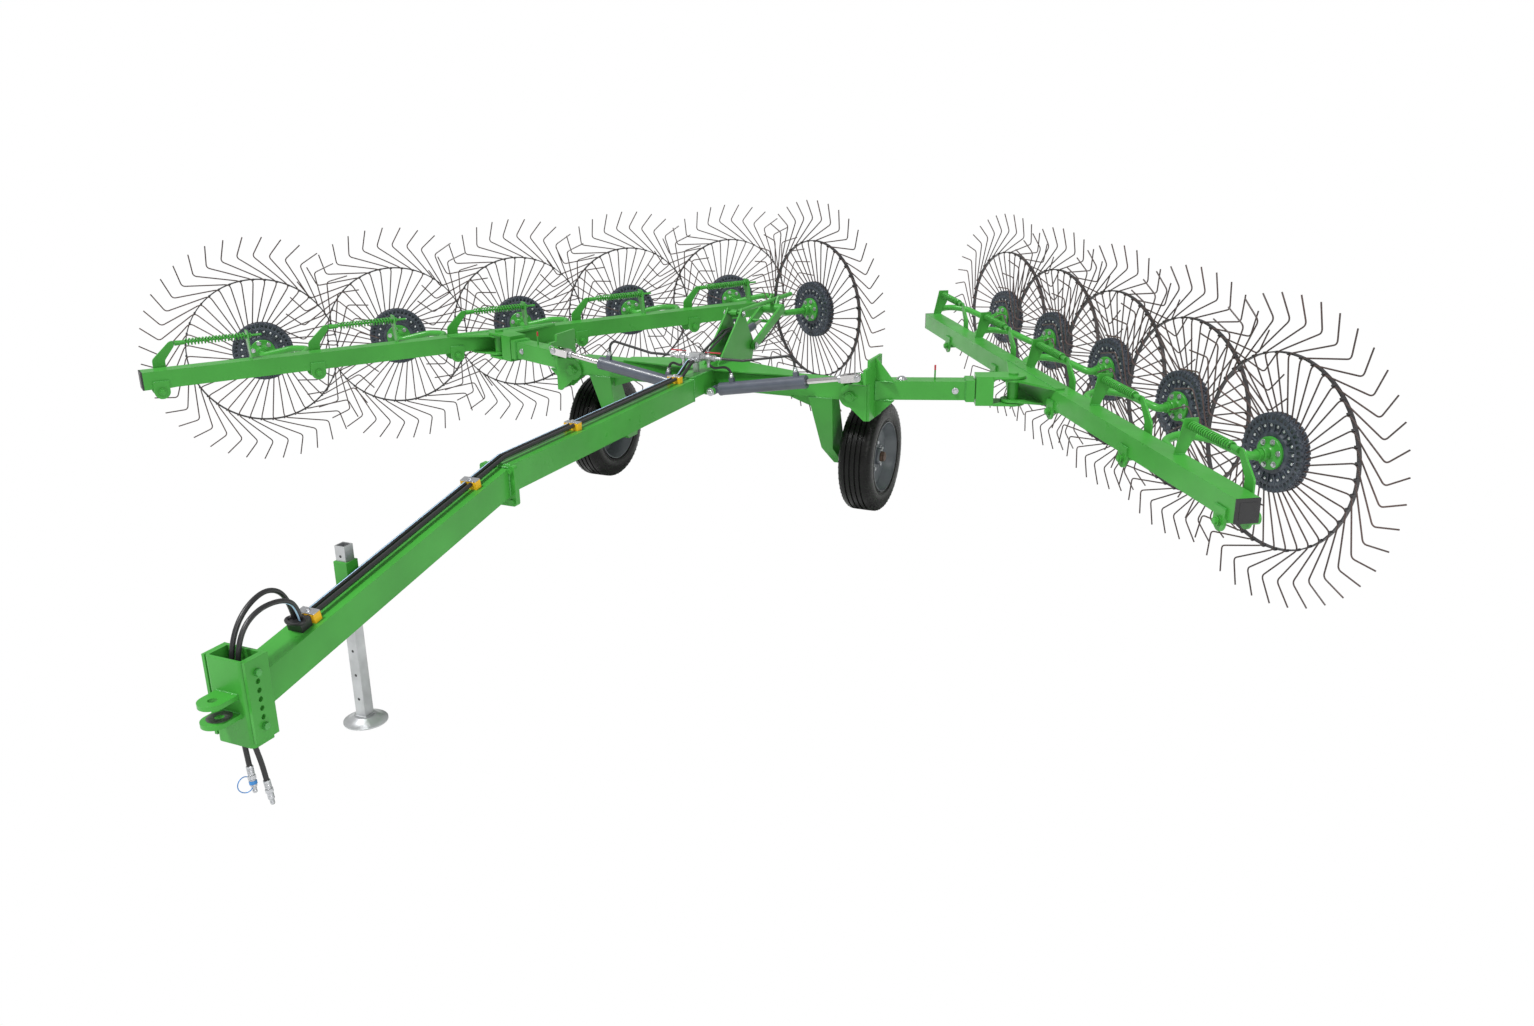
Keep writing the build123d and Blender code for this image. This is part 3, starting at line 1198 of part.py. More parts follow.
hose_step = HOSE_LIFT + BAR_TOP_Z - bar_top_back - HOSE_LIFT / cos(slope)
hose_turn_y = bar_back_y + hose_step * cos(slope) / sin(slope)
hose_end = square_to_bar(BOOT_Y, HOSE_LIFT).offset(-BOOT_L / 2).origin
valve_low = VALVE_Z - VALVE_H / 2
with BuildPart() as drawbar_hoses:
    for side in (-1, 1):
        with BuildLine():
            hose_path = FilletPolyline(
                (side * HOSE_X, VALVE_Y - VALVE_L / 2, valve_low + HOSE_R + RUNNING),
                (side * HOSE_X, VALVE_Y - VALVE_L / 2 - HOSE_BEND, valve_low + HOSE_R + RUNNING),
                (side * HOSE_X, VALVE_Y - VALVE_L / 2 - 3 * HOSE_BEND, BAR_TOP_Z + HOSE_LIFT),
                (side * HOSE_X, hose_turn_y, BAR_TOP_Z + HOSE_LIFT),
                (side * HOSE_X, hose_end.Y, hose_end.Z),
                radius=HOSE_BEND,
            )
        with BuildSketch(Plane(hose_path @ 0, z_dir=hose_path % 0)):
            Circle(HOSE_R)
        sweep(path=hose_path)
keep("drawbar_hoses", drawbar_hoses.part)


def cord_path(route):
    """Straight runs joined by arcs, each as large as its two runs allow."""
    places = [Vector(*place) for place in route]
    runs = [end - start for start, end in zip(places, places[1:])]
    turns = [radians(ahead.get_angle(behind)) for behind, ahead in zip(runs, runs[1:])]
    shorter = [min(behind.length, ahead.length) for behind, ahead in zip(runs, runs[1:])]
    radii = [ARC_SHARE * run * cos(turn / 2) / sin(turn / 2) for run, turn in zip(shorter, turns)]
    print("radii", [round(radius) for radius in radii])
    with BuildLine() as line:
        FilletPolyline(*places, radius=radii)
    return line.wires()[0]


couplers = []
for letter, route in (("a", FREE_HOSE_A), ("b", FREE_HOSE_B)):
    wire = cord_path(route)
    with BuildPart() as free_hose:
        with BuildSketch(Plane(wire @ 0, z_dir=wire % 0)):
            Circle(HOSE_R)
        sweep(path=wire)
    keep(f"free_hose_{letter}", free_hose.part)
    couplers.append(Plane(wire @ 1, z_dir=wire % 1))

# Quick couplers on the free hoses: ferrule, hexagon, body and tip
with BuildPart() as hose_couplers:
    for coupler_plane in couplers:
        reach = 0
        for length, radius, sides in COUPLER:
            with BuildSketch(coupler_plane.offset(reach)):
                RegularPolygon(radius, sides)
            extrude(amount=length)
            reach += length
keep("hose_couplers", hose_couplers.part)

# Valve: block on a post, with a cock on each side, and their flat handles
cock_x = (VALVE_W + COCK_OUT) / 2.4
with BuildPart() as valve_block:
    with Locations((0, VALVE_Y, VALVE_Z)):
        Box(VALVE_W, VALVE_L, VALVE_H)
    with Locations((0, VALVE_Y, (valve_low + mast_foot_z) / 2)):
        Box(VALVE_POST, VALVE_POST, valve_low - mast_foot_z)
    for side in (-1, 1):
        with BuildSketch(Plane((side * VALVE_W / 2, VALVE_Y, VALVE_Z), x_dir=(0, 1, 0), z_dir=(side, 0, 0))):
            RegularPolygon(COCK_R, 8)
        extrude(amount=COCK_OUT - VALVE_W / 2)
        with BuildSketch(Plane((side * cock_x, VALVE_Y, VALVE_Z))):
            RegularPolygon(COCK_R / 2, 8)
        extrude(amount=2 * COCK_R - SEAT)
keep("valve_block", valve_block.part)

with BuildPart() as valve_handles:
    for side in (-1, 1):
        with BuildSketch(Plane((side * cock_x, VALVE_Y, VALVE_Z + 2 * COCK_R), x_dir=(1, 0, 0))):
            with Locations((side * (HANDLE_L / 2 - HANDLE_W), 0)):
                Rectangle(HANDLE_L, HANDLE_W)
        extrude(amount=HANDLE_T)
keep("valve_handles", valve_handles.part)

# Hoses of the lift rams: from the end of each cock to the gland, from its underside to the base,
# each clear of its port by what the port rises
ram_up = ram_dir.cross(Vector(0, 1, 0))
ports = []
for port in PORTS:
    port_rise = (port + PORT_W) * sin(radians(RAM_TURN))
    hose_low = RAM_BARREL_R + PORT_H + port_rise + SEAT
    ports.append(ram_base + ram_dir * (port + PORT_W / 2) + ram_up * hose_low)
base_port, gland_port = ports
cock_end = Vector(COCK_OUT + SEAT, VALVE_Y, VALVE_Z)
cock_low = Vector(cock_x, VALVE_Y, VALVE_Z - COCK_R - SEAT)
lift_routes = [
    (
        cock_end,
        cock_end + Vector(4 * SHORT_HOSE_BEND, 0, 0),
        gland_port + ram_up * 2 * SHORT_HOSE_BEND,
        gland_port,
    ),
    (
        cock_low,
        cock_low - UP * 1.2 * SHORT_HOSE_BEND,
        base_port + ram_up * 1.5 * SHORT_HOSE_BEND,
        base_port,
    ),
]
with BuildPart() as lift_hoses:
    for side in (-1, 1):
        for route in lift_routes:
            with BuildLine():
                hose_path = FilletPolyline(*[(side * x, y, z) for x, y, z in route], radius=SHORT_HOSE_BEND)
            with BuildSketch(Plane(hose_path @ 0, z_dir=hose_path % 0)):
                Circle(SHORT_HOSE_R)
            sweep(path=hose_path)
keep("lift_hoses", lift_hoses.part)

# Hoses of the centre ram: from the back of the valve between the mast plates, down to its base eye
centre_front = Vector(0, -1, 1).normalized()
centre_eye = centre_low + centre_front * (CENTRE_RAM_R + SEAT)
valve_back_y = VALVE_Y + VALVE_L / 2
with BuildPart() as centre_hoses:
    for side in (-1, 1):
        hose_end = centre_eye + Vector(side * CENTRE_HOSE_X, 0, 0)
        with BuildLine():
            hose_path = FilletPolyline(
                (side * HOSE_X, valve_back_y + SEAT, VALVE_Z),
                (side * HOSE_X, valve_back_y + 2 * SHORT_HOSE_BEND, VALVE_Z),
                (side * HOSE_X, DECK_APEX_Y, LINK_Z - 2 * SHORT_HOSE_BEND),
                hose_end + centre_front * 1.5 * SHORT_HOSE_BEND,
                hose_end,
                radius=SHORT_HOSE_BEND,
            )
        with BuildSketch(Plane(hose_path @ 0, z_dir=hose_path % 0)):
            Circle(SHORT_HOSE_R)
        sweep(path=hose_path)
keep("centre_hoses", centre_hoses.part)

# Footprint: the origin is moved to its middle
rear_y = max(piece.bounding_box().max.Y for piece in finished)
front_y = min(piece.bounding_box().min.Y for piece in finished)
axle_y = -(rear_y + front_y) / 2
print("axle_y", axle_y, "rear", rear_y, "front", front_y)
for piece in finished:
    piece.position += Vector(0, axle_y, 0)
    export_step(piece, f"parts/{piece.label}.step")
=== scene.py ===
"""Looks of a trailed v-rake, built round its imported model.

Metres, +Z up. The machine travels towards -Y, so its left side is +X. Lengths along Y in the
tables below are counted from the tyre axle, and AXLE_Y moves them into the model's frame.
"""
import json
from math import cos, pi, radians, sin, tan

import bpy
from mathutils import Matrix, Vector


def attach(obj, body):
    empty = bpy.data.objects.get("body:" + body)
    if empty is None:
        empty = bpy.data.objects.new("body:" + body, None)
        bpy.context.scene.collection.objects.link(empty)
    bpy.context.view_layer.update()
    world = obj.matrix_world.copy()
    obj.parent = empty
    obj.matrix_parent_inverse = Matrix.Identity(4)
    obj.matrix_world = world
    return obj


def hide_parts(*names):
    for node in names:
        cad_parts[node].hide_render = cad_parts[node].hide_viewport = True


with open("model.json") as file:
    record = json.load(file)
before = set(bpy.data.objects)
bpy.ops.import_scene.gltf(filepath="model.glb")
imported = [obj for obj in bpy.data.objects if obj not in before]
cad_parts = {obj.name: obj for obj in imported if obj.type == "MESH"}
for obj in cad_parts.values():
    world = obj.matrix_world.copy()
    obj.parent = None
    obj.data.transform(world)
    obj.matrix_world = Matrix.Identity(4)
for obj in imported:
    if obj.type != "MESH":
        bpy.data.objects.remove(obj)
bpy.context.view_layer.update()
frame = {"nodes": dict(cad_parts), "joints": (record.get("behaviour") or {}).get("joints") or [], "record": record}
joints = {joint["name"]: joint for joint in frame["joints"]}
AXLE_Y = joints["road_wheel_spin_left"]["pos_m"][1]
SIDES = (("left", 1), ("right", -1))
WHITE = (1, 1, 1, 1)
SQUARE = ((-1, -1), (1, -1), (1, 1), (-1, 1))
X, Y, UP = Vector((1, 0, 0)), Vector((0, 1, 0)), Vector((0, 0, 1))


def from_axle(x, y, z):
    """A point given with its Y from the tyre axle, in the model's frame."""
    return Vector((x, y + AXLE_Y, z))


def frame_of(x, y, z, origin):
    """The frame with these axes at a point."""
    made = Matrix((x, y, z)).transposed().to_4x4()
    made.translation = origin
    return made


def new_object(name, data):
    made = bpy.data.objects.new(name, data)
    bpy.context.scene.collection.objects.link(made)
    return made


# Camera: the photograph's viewpoint, with its turn, downward tilt and slight roll
EYE = from_axle(3.0336, -6.3437, 2.3023)
EYE_TURN = 0.4175
EYE_TILT = -0.336
EYE_ROLL = -0.0081
LENS = 29.04
SENSOR = 36.0


def make_camera():
    ahead = Vector((-sin(EYE_TURN) * cos(EYE_TILT), cos(EYE_TURN) * cos(EYE_TILT), sin(EYE_TILT)))
    level = Vector((cos(EYE_TURN), sin(EYE_TURN), 0))
    upright = level.cross(ahead)
    right = level * cos(EYE_ROLL) + upright * sin(EYE_ROLL)
    up = upright * cos(EYE_ROLL) - level * sin(EYE_ROLL)
    camera = new_object("camera", bpy.data.cameras.new("camera"))
    camera.matrix_world = frame_of(right, up, -ahead, EYE)
    camera.data.lens = LENS
    camera.data.sensor_width = SENSOR
    camera.data.sensor_fit = "HORIZONTAL"
    camera.data.clip_end = 100
    bpy.context.scene.camera = camera


# Materials
# Sockets of a colour mix node: its share, low and high colour, and its result
MIX_INPUTS = (0, 6, 7)
MIX_RESULT = 2


def feed(tree, socket, value):
    """Links another node's output to a socket, or sets its own value."""
    if isinstance(value, bpy.types.NodeSocket):
        tree.links.new(value, socket)
    else:
        socket.default_value = value


def node_of(tree, kind, **sockets):
    """A new node with its named input sockets fed."""
    node = tree.nodes.new(kind)
    for name, value in sockets.items():
        feed(tree, node.inputs[name.replace("_", " ")], value)
    return node


def math_of(tree, operation, *values):
    """The result of a math node."""
    node = tree.nodes.new("ShaderNodeMath")
    node.operation = operation
    for socket, value in zip(node.inputs, values):
        feed(tree, socket, value)
    return node.outputs[0]


def blend_of(tree, share, low, high):
    """The colour that mixes low and high by a share from 0 to 1."""
    mix = tree.nodes.new("ShaderNodeMix")
    mix.data_type = "RGBA"
    for socket, value in zip(MIX_INPUTS, (share, low, high)):
        feed(tree, mix.inputs[socket], value)
    return mix.outputs[MIX_RESULT]


def ranged(tree, value, low, high, start=0.3, end=0.7):
    """A texture's value, stretched so that start to end becomes low to high."""
    return node_of(tree, "ShaderNodeMapRange", Value=value, From_Min=start, From_Max=end,
                   To_Min=low, To_Max=high).outputs["Result"]


def shade(colour, factor):
    return tuple(min(channel * factor, 1) for channel in colour[:3]) + (1,)


finishes = {}


class Finish:
    """A procedural material: patches of colour and gloss, fine grain as bump, and soft edges."""

    def __init__(self, name, colour, roughness, metallic=0.0, coat=0.0, patch=9.0, spread=0.1,
                 grain=260.0, depth=0.0004, edge=0.002, specular=0.5):
        self.material = finishes[name] = bpy.data.materials.new(name)
        self.material.use_nodes = True
        tree = self.tree = self.material.node_tree
        self.shader = tree.nodes["Principled BSDF"]
        self.place = tree.nodes.new("ShaderNodeTexCoord").outputs["Object"]
        share = ranged(tree, self.noise(patch, 4), 0, 1)
        self.tint(blend_of(tree, share, shade(colour, 1 - spread), shade(colour, 1 + spread)))
        gloss = ranged(tree, self.noise(patch * 3, 5), roughness * 0.85, roughness * 1.2)
        rounding = node_of(tree, "ShaderNodeBevel", Radius=edge)
        rounding.samples = 4
        bump = node_of(tree, "ShaderNodeBump", Distance=depth, Height=self.noise(grain, 2),
                       Normal=rounding.outputs[0])
        for socket, value in (("Roughness", gloss), ("Metallic", metallic), ("Coat Weight", coat),
                              ("Coat Roughness", 0.12), ("Specular IOR Level", specular),
                              ("Normal", bump.outputs["Normal"])):
            feed(tree, self.shader.inputs[socket], value)

    def noise(self, scale, detail):
        return node_of(self.tree, "ShaderNodeTexNoise", Vector=self.place, Scale=scale,
                       Detail=detail).outputs["Fac"]

    def tint(self, colour):
        self.colour = colour
        feed(self.tree, self.shader.inputs["Base Color"], colour)

    def dust(self, colour, amount, scale=3.5):
        """Adds thin patches of another colour, such as dust or rubbed metal."""
        share = ranged(self.tree, self.noise(scale, 6), 0, amount, 0.5, 0.75)
        self.tint(blend_of(self.tree, share, self.colour, shade(colour, 1)))
        return self


def stripe_finish(name, colour, stripe, middle, half, round_y=False):
    """Hose rubber with a thin printed line, placed by the tube's UV or by the angle round Y.

    Where it is placed by angle, only the hoses on the machine's right side have the line.
    """
    made = Finish(name, colour, 0.38, grain=900, depth=0.0002)
    tree = made.tree
    held = tree.nodes.new("ShaderNodeTexCoord").outputs["Normal" if round_y else "UV"]
    axes = node_of(tree, "ShaderNodeSeparateXYZ", Vector=held).outputs
    around = axes["Y"]
    if round_y:
        around = math_of(tree, "ARCTAN2", axes["X"], axes["Z"])
        place = node_of(tree, "ShaderNodeSeparateXYZ", Vector=made.place).outputs["X"]
        on_left = ranged(tree, place, 0, 1, -0.001, 0.001)
        stripe = blend_of(tree, on_left, stripe, shade(colour, 1))
    band = math_of(tree, "COMPARE", around, middle, half)
    made.tint(blend_of(tree, band, made.colour, stripe))
    return made.material


# The finishes: name, colour, roughness, and what differs from a plain paint
GREEN = (0.048, 0.3, 0.038)
RUBBER = (0.016, 0.016, 0.017)
PRINTED = (0.4, 0.62, 0.82, 1)
green = Finish("green_paint", GREEN, 0.32, coat=0.05, patch=3.5, depth=0.0001,
               specular=0.28).dust((0.055, 0.34, 0.045), 0.35).material
weld_green = Finish("weld_green", (0.05, 0.31, 0.05), 0.28, patch=30, spread=0.15, grain=700,
                    depth=0.0008).material
slate = Finish("disc_slate", (0.031, 0.04, 0.056), 0.5, patch=24, spread=0.35, grain=180,
               depth=0.0012).dust((0.09, 0.1, 0.12), 0.6, 30).material
tine = Finish("tine_steel", (0.055, 0.036, 0.033), 0.42, patch=2.2, spread=0.35,
              edge=0.0005).dust((0.13, 0.07, 0.06), 0.5, 2.5).material
hoop_black = Finish("hoop_steel", (0.028, 0.026, 0.028), 0.45, patch=6, spread=0.25,
                    edge=0.0008).material
tread = Finish("tyre_rubber", (0.005, 0.005, 0.0048), 0.3, patch=12, spread=0.25, grain=500,
               depth=0.0006, specular=0.18).dust((0.02, 0.019, 0.018), 0.2, 6).material
rim_grey = Finish("rim_paint", (0.1, 0.112, 0.125), 0.34, spread=0.12, coat=0.15).material
ram_grey = Finish("ram_paint", (0.07, 0.08, 0.105), 0.36, patch=14, spread=0.12,
                  coat=0.15).material
Finish("rod_chrome", (0.62, 0.6, 0.6), 0.14, metallic=1, patch=12, spread=0.05, depth=0.00005)
zinc = Finish("zinc_steel", (0.46, 0.47, 0.48), 0.38, metallic=0.8, patch=14, spread=0.12,
              grain=150, depth=0.0002).dust((0.62, 0.63, 0.64), 0.35, 9).material
bolt_zinc = Finish("bolt_zinc", (0.52, 0.53, 0.55), 0.3, metallic=0.9, patch=40).material
cap_black = Finish("cap_plastic", (0.014, 0.014, 0.015), 0.45, patch=30, spread=0.2,
                   grain=700).material
yellow = Finish("clamp_plastic", (0.83, 0.46, 0.012), 0.4, patch=30, spread=0.08).material
red = Finish("handle_plastic", (0.46, 0.012, 0.03), 0.35, patch=30).material
blue = Finish("strap_blue", (0.03, 0.2, 0.5), 0.35, patch=40, spread=0.15).material
worn = Finish("worn_steel", (0.12, 0.12, 0.12), 0.5, metallic=0.5, patch=40, spread=0.4,
              grain=300).material
rust = Finish("rusty_steel", (0.1, 0.062, 0.045), 0.6, metallic=0.3, patch=60, spread=0.35,
              grain=500).material
hose_black = Finish("hose_rubber", RUBBER, 0.36, patch=16, spread=0.25, grain=900,
                    depth=0.0002).material
hose_striped = stripe_finish("hose_striped", RUBBER, PRINTED, 0.71, 0.07)
hose_lined = stripe_finish("hose_lined", RUBBER, PRINTED, 0.06, 0.2, round_y=True)


# Shapes
STRAIGHT = 0.02  # half of a turn, in radians, that is left without an arc
RUN_SHARE = 0.48  # most of a run that one corner's arc takes
TIP_R = 0.0005  # radius at which a lathed face closes on its axis
SHARP_EDGE = radians(38)
WASHER_R, WASHER_H = 1.45, 0.2  # by the bolt's radius, as the next two
CHAMFER_R, CHAMFER_H = 0.86, 0.12
BEAD_STEP = 1.3
BEAD_SIZES = (0.86, 1.08)


def looking(origin, ahead, up=(0, 0, 1)):
    """The frame at a point whose Z axis looks ahead and whose X axis is square to up."""
    z = Vector(ahead).normalized()
    x = Vector(up).cross(z)
    if x.length < 1e-6:
        x = X.copy()
    x.normalize()
    return frame_of(x, z.cross(x), z, origin)


def rounded(points, radius, steps=5):
    """A line or outline in space with its corners rounded by arcs, as far as its runs allow."""
    points = [Vector(point) for point in points]
    line = [points[0]]
    for before, corner, after in zip(points, points[1:], points[2:]):
        back, on = before - corner, after - corner
        half = (pi - back.angle(on)) / 2
        if half < STRAIGHT:
            line.append(corner)
            continue
        cut = min(radius * tan(half), back.length * RUN_SHARE, on.length * RUN_SHARE)
        start, end = corner + back.normalized() * cut, corner + on.normalized() * cut
        for step in range(steps + 1):
            t = step / steps
            line.append(start * (1 - t) ** 2 + corner * 2 * t * (1 - t) + end * t * t)
    return line + [points[-1]]


def outline_of(points, radius, steps=5):
    """A closed flat outline with rounded corners."""
    flat = [Vector((x, y, 0)) for x, y in points]
    middle = (flat[-1] + flat[0]) / 2
    return [(point.x, point.y) for point in rounded([middle, *flat, middle], radius, steps)[1:-1]]


def box_outline(left, right, low, high, radius, steps=5):
    """A rectangle's outline with rounded corners."""
    return outline_of(((left, low), (right, low), (right, high), (left, high)), radius, steps)


def ring(radius, sides, turn=0.0):
    angles = [2 * pi * i / sides + turn for i in range(sides)]
    return [(radius * cos(angle), radius * sin(angle)) for angle in angles]


def button(radius, height):
    """The profile of a short solid cylinder."""
    return [(TIP_R, 0), (radius, 0), (radius, height), (TIP_R, height)]


class Shape:
    """The mesh of one piece, put together from lathed, swept and cut forms."""

    def __init__(self):
        self.points = []
        self.faces = []

    def add(self, points, faces, place=None):
        start = len(self.points)
        self.points += [place @ Vector(point) if place else Vector(point) for point in points]
        self.faces += [[start + index for index in face] for face in faces]
        return self

    def rings(self, rows, closed=False):
        """Faces between rows of points that go round, with flat ends unless the rows close."""
        count = len(rows[0])
        points = [point for row in rows for point in row]
        faces = []
        for i in range(len(rows) if closed else len(rows) - 1):
            a, b = i * count, (i + 1) % len(rows) * count
            for j in range(count):
                k = (j + 1) % count
                faces.append([a + j, a + k, b + k, b + j])
        if not closed:
            faces += [list(range(count))[::-1], [len(points) - count + j for j in range(count)]]
        return points, faces

    def lathe(self, profile, place=None, steps=48, closed=False):
        """Turns (radius, height) points round the Z axis."""
        rows = [[(x, y, height) for x, y in ring(radius, steps)] for radius, height in profile]
        return self.add(*self.rings(rows, closed), place)

    def tube(self, line, radius, sides=10, place=None, closed=False):
        """A round bar along a line of points, with radius a number or one for each point."""
        line = [Vector(point) for point in line]
        count = len(line)
        normal = None
        rows = []
        for i, point in enumerate(line):
            behind = line[(i - 1) % count] if closed or i else point
            ahead = line[(i + 1) % count] if closed or i < count - 1 else point
            along = (ahead - behind).normalized()
            if normal is None:
                normal = along.orthogonal().normalized()
            normal = (normal - along * normal.dot(along)).normalized()
            across = along.cross(normal)
            size = radius[i] if isinstance(radius, (list, tuple)) else radius
            rows.append([point + (normal * x + across * y) * size for x, y in ring(1, sides)])
        return self.add(*self.rings(rows, closed), place)

    def plate(self, outline, low, high, place=None, bevel=0.0):
        """A flat piece of any outline between two heights, with a small bevel on both faces."""
        if bevel:
            inner = shrunk(outline, bevel)
            heights = ((inner, low), (outline, low + bevel), (outline, high - bevel), (inner, high))
        else:
            heights = ((outline, low), (outline, high))
        rows = [[(x, y, z) for x, y in shape] for shape, z in heights]
        return self.add(*self.rings(rows), place)

    def bolt(self, place, radius=0.011, height=0.009):
        """A hexagon head on its washer, with a chamfered top."""
        base = radius * WASHER_H
        self.lathe(button(radius * WASHER_R, base), place, 20)
        top = base + height
        sections = ((1, base), (1, top - radius * CHAMFER_H), (CHAMFER_R, top))
        rows = [[(x * share, y * share, z) for x, y in ring(radius, 6)] for share, z in sections]
        return self.add(*self.rings(rows), place)

    def weld(self, line, radius=0.004):
        """A rippled bead along a line."""
        beads = []
        for start, end in zip(line, line[1:]):
            start, end = Vector(start), Vector(end)
            count = max(int((end - start).length / (radius * BEAD_STEP)), 2)
            beads += [start.lerp(end, i / count) for i in range(count)]
        beads.append(Vector(line[-1]))
        sizes = [radius * BEAD_SIZES[i % 2] for i in range(len(beads))]
        return self.tube(beads, sizes, 6)

    def mesh(self, name):
        made = bpy.data.meshes.new(name)
        made.from_pydata([tuple(point) for point in self.points], [], self.faces)
        made.validate()
        made.shade_smooth()
        made.set_sharp_from_angle(angle=SHARP_EDGE)
        return made

    def piece(self, name, material, body, slot, nodes=()):
        return piece_of(self.mesh(name), name, material, body, nodes)


def shrunk(outline, by):
    """The outline moved inwards by a small distance, point for point."""
    count = len(outline)
    pairs = [(outline[i - 1], outline[i]) for i in range(count)]
    area = sum(before[0] * after[1] - after[0] * before[1] for before, after in pairs)
    inward = 1 if area > 0 else -1
    made = []
    for i, (x, y) in enumerate(outline):
        before, after = Vector(outline[i - 1]), Vector(outline[(i + 1) % count])
        along = (after - before).normalized()
        made.append((x - along.y * by * inward, y + along.x * by * inward))
    return made


def piece_of(mesh, name, material, body, nodes=(), place=None):
    """An object of a mesh that rides on a body and stands for CAD nodes."""
    if not mesh.materials:
        mesh.materials.append(material)
    made = new_object(name, mesh)
    if place:
        made.matrix_world = place
    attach(made, body)
    if nodes:
        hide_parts(*nodes)
    return made


# CAD nodes that stay, with their finish
OWN_FINISH = {"drawbar_hoses": hose_lined, "centre_link": green, "hitch_bolts": weld_green,
              "hose_couplers": bolt_zinc}


def dress_cad():
    """Gives each node its own finish, or else the one that bears its slot's name."""
    for row in frame["record"]["subparts"]:
        node = frame["nodes"][row["node"]]
        node.data.materials.clear()
        node.data.materials.append(OWN_FINISH.get(row["node"]) or finishes[row["material_slot"]])
        if "custom_normal" in node.data.attributes:
            node.data.attributes.remove(node.data.attributes["custom_normal"])
        node.data.shade_smooth()
        node.modifiers.new("weld", "WELD").merge_threshold = 0.00002
        node.modifiers.new("split", "EDGE_SPLIT").split_angle = radians(32)


# Free hoses: they come out of the rubber boot, bend over the hitch head and hang through it
HOSE_R = 0.009
HOSE_LENGTHS = (0.835, 0.857)
FREE_HOSE_A = (
    (-0.014, -3.4574, 0.5823),
    (-0.014, -3.4697, 0.6410),
    (-0.0145, -3.502, 0.701),
    (-0.014, -3.562, 0.728),
    (-0.014, -3.629, 0.713),
    (-0.014, -3.688, 0.672),
    (-0.014, -3.728, 0.608),
    (-0.015, -3.745, 0.520),
    (-0.015, -3.749, 0.415),
    (-0.013, -3.750, 0.310),
    (-0.002, -3.754, 0.240),
    (0.010, -3.760, 0.180),
)
FREE_HOSE_B = (
    (0.014, -3.4574, 0.5823),
    (0.014, -3.4685, 0.6352),
    (0.017, -3.506, 0.674),
    (0.018, -3.568, 0.692),
    (0.017, -3.636, 0.690),
    (0.015, -3.697, 0.658),
    (0.013, -3.733, 0.594),
    (0.012, -3.745, 0.500),
    (0.013, -3.747, 0.400),
    (0.016, -3.745, 0.310),
    (0.028, -3.739, 0.238),
    (0.038, -3.732, 0.172),
    (0.042, -3.729, 0.117),
)
# Length and radius of a coupler's ferrule, nut, body and tip
COUPLER = ((0.032, 0.012), (0.016, 0.014), (0.026, 0.011), (0.02, 0.008))
STRAP_LOOP = (0.024, 0.004, 0.027)
STRAP_COLLAR = ((0.0118, 0.052), (0.0132, 0.052), (0.0132, 0.064), (0.0118, 0.064))


def hose_curve(name, route, radius, material):
    """A round hose whose centre line is a smooth curve guided by the route's points."""
    curve = bpy.data.curves.new(name, "CURVE")
    curve.dimensions = "3D"
    curve.bevel_depth = radius
    curve.bevel_resolution = 5
    curve.resolution_u = 8
    curve.use_fill_caps = True
    spline = curve.splines.new("NURBS")
    spline.points.add(len(route) - 1)
    for point, place in zip(spline.points, route):
        point.co = (*from_axle(*place), 1)
    spline.order_u = 3
    spline.use_endpoint_u = True
    curve.materials.append(material)
    return new_object(name, curve)


def coupler_profile():
    (ferrule, ferrule_r), (nut, _), (body, body_r), (tip, tip_r) = COUPLER
    at_nut, at_body, at_tip = ferrule, ferrule + nut, ferrule + nut + body
    end = at_tip + tip
    profile = [(TIP_R, 0), (ferrule_r * 0.93, 0), (ferrule_r, 0.002)]
    for share in (0.25, 0.45, 0.65):
        profile += [(ferrule_r, ferrule * share), (ferrule_r * 0.92, ferrule * (share + 0.05)),
                    (ferrule_r, ferrule * (share + 0.1))]
    profile += [(ferrule_r * 0.9, at_nut), (body_r * 0.8, at_nut), (body_r * 0.8, at_body),
                (body_r, at_body)]
    for share, radius in ((0.35, 1), (0.4, 0.9), (0.5, 1)):
        profile.append((body_r * radius, at_body + body * share))
    profile += [(body_r, at_tip - 0.003), (tip_r, at_tip)]
    for share, radius in ((0.3, 1), (0.38, 0.8), (0.5, 1)):
        profile.append((tip_r * radius, at_tip + tip * share))
    return profile + [(tip_r * 0.96, end - 0.003), (tip_r * 0.7, end), (TIP_R, end)]


def dust_cap_strap(place):
    """The blue strap that hangs from hose A's coupler, with its collar."""
    strap = Shape()
    middle = place @ Vector((-0.026, 0, 0.058))
    x, y, z = STRAP_LOOP
    turns = [t * pi / 12 for t in range(24)]
    loop = [middle + place.to_3x3() @ Vector((x * cos(turn), y * sin(2 * turn), z * sin(turn)))
            for turn in turns]
    strap.tube(loop, 0.0018, 8, closed=True)
    strap.lathe(STRAP_COLLAR, place, 28, closed=True)
    return strap.piece("dust_cap_strap", blue, "frame", "coupler_steel")


def free_hoses():
    (ferrule, _), (nut, nut_r), _, _ = COUPLER
    rows = zip("ab", (FREE_HOSE_A, FREE_HOSE_B), HOSE_LENGTHS, (hose_black, hose_striped))
    for letter, route, length, material in rows:
        last = from_axle(*route[-1])
        place = looking(last, last - from_axle(*route[-2]))
        coupler = Shape().lathe(coupler_profile(), place, 28)
        coupler.plate(ring(nut_r, 6), ferrule + 0.0005, ferrule + nut - 0.0005, place, 0.0012)
        on_cord = [coupler.piece(f"coupler_{letter}", bolt_zinc, "frame", "coupler_steel",
                                 ["hose_couplers"])]
        if letter == "a":
            on_cord.append(dust_cap_strap(place))
        made = hose_curve(f"free_hose_line_{letter}", route, HOSE_R, material)
        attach(made, "frame")
        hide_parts(f"free_hose_{letter}")


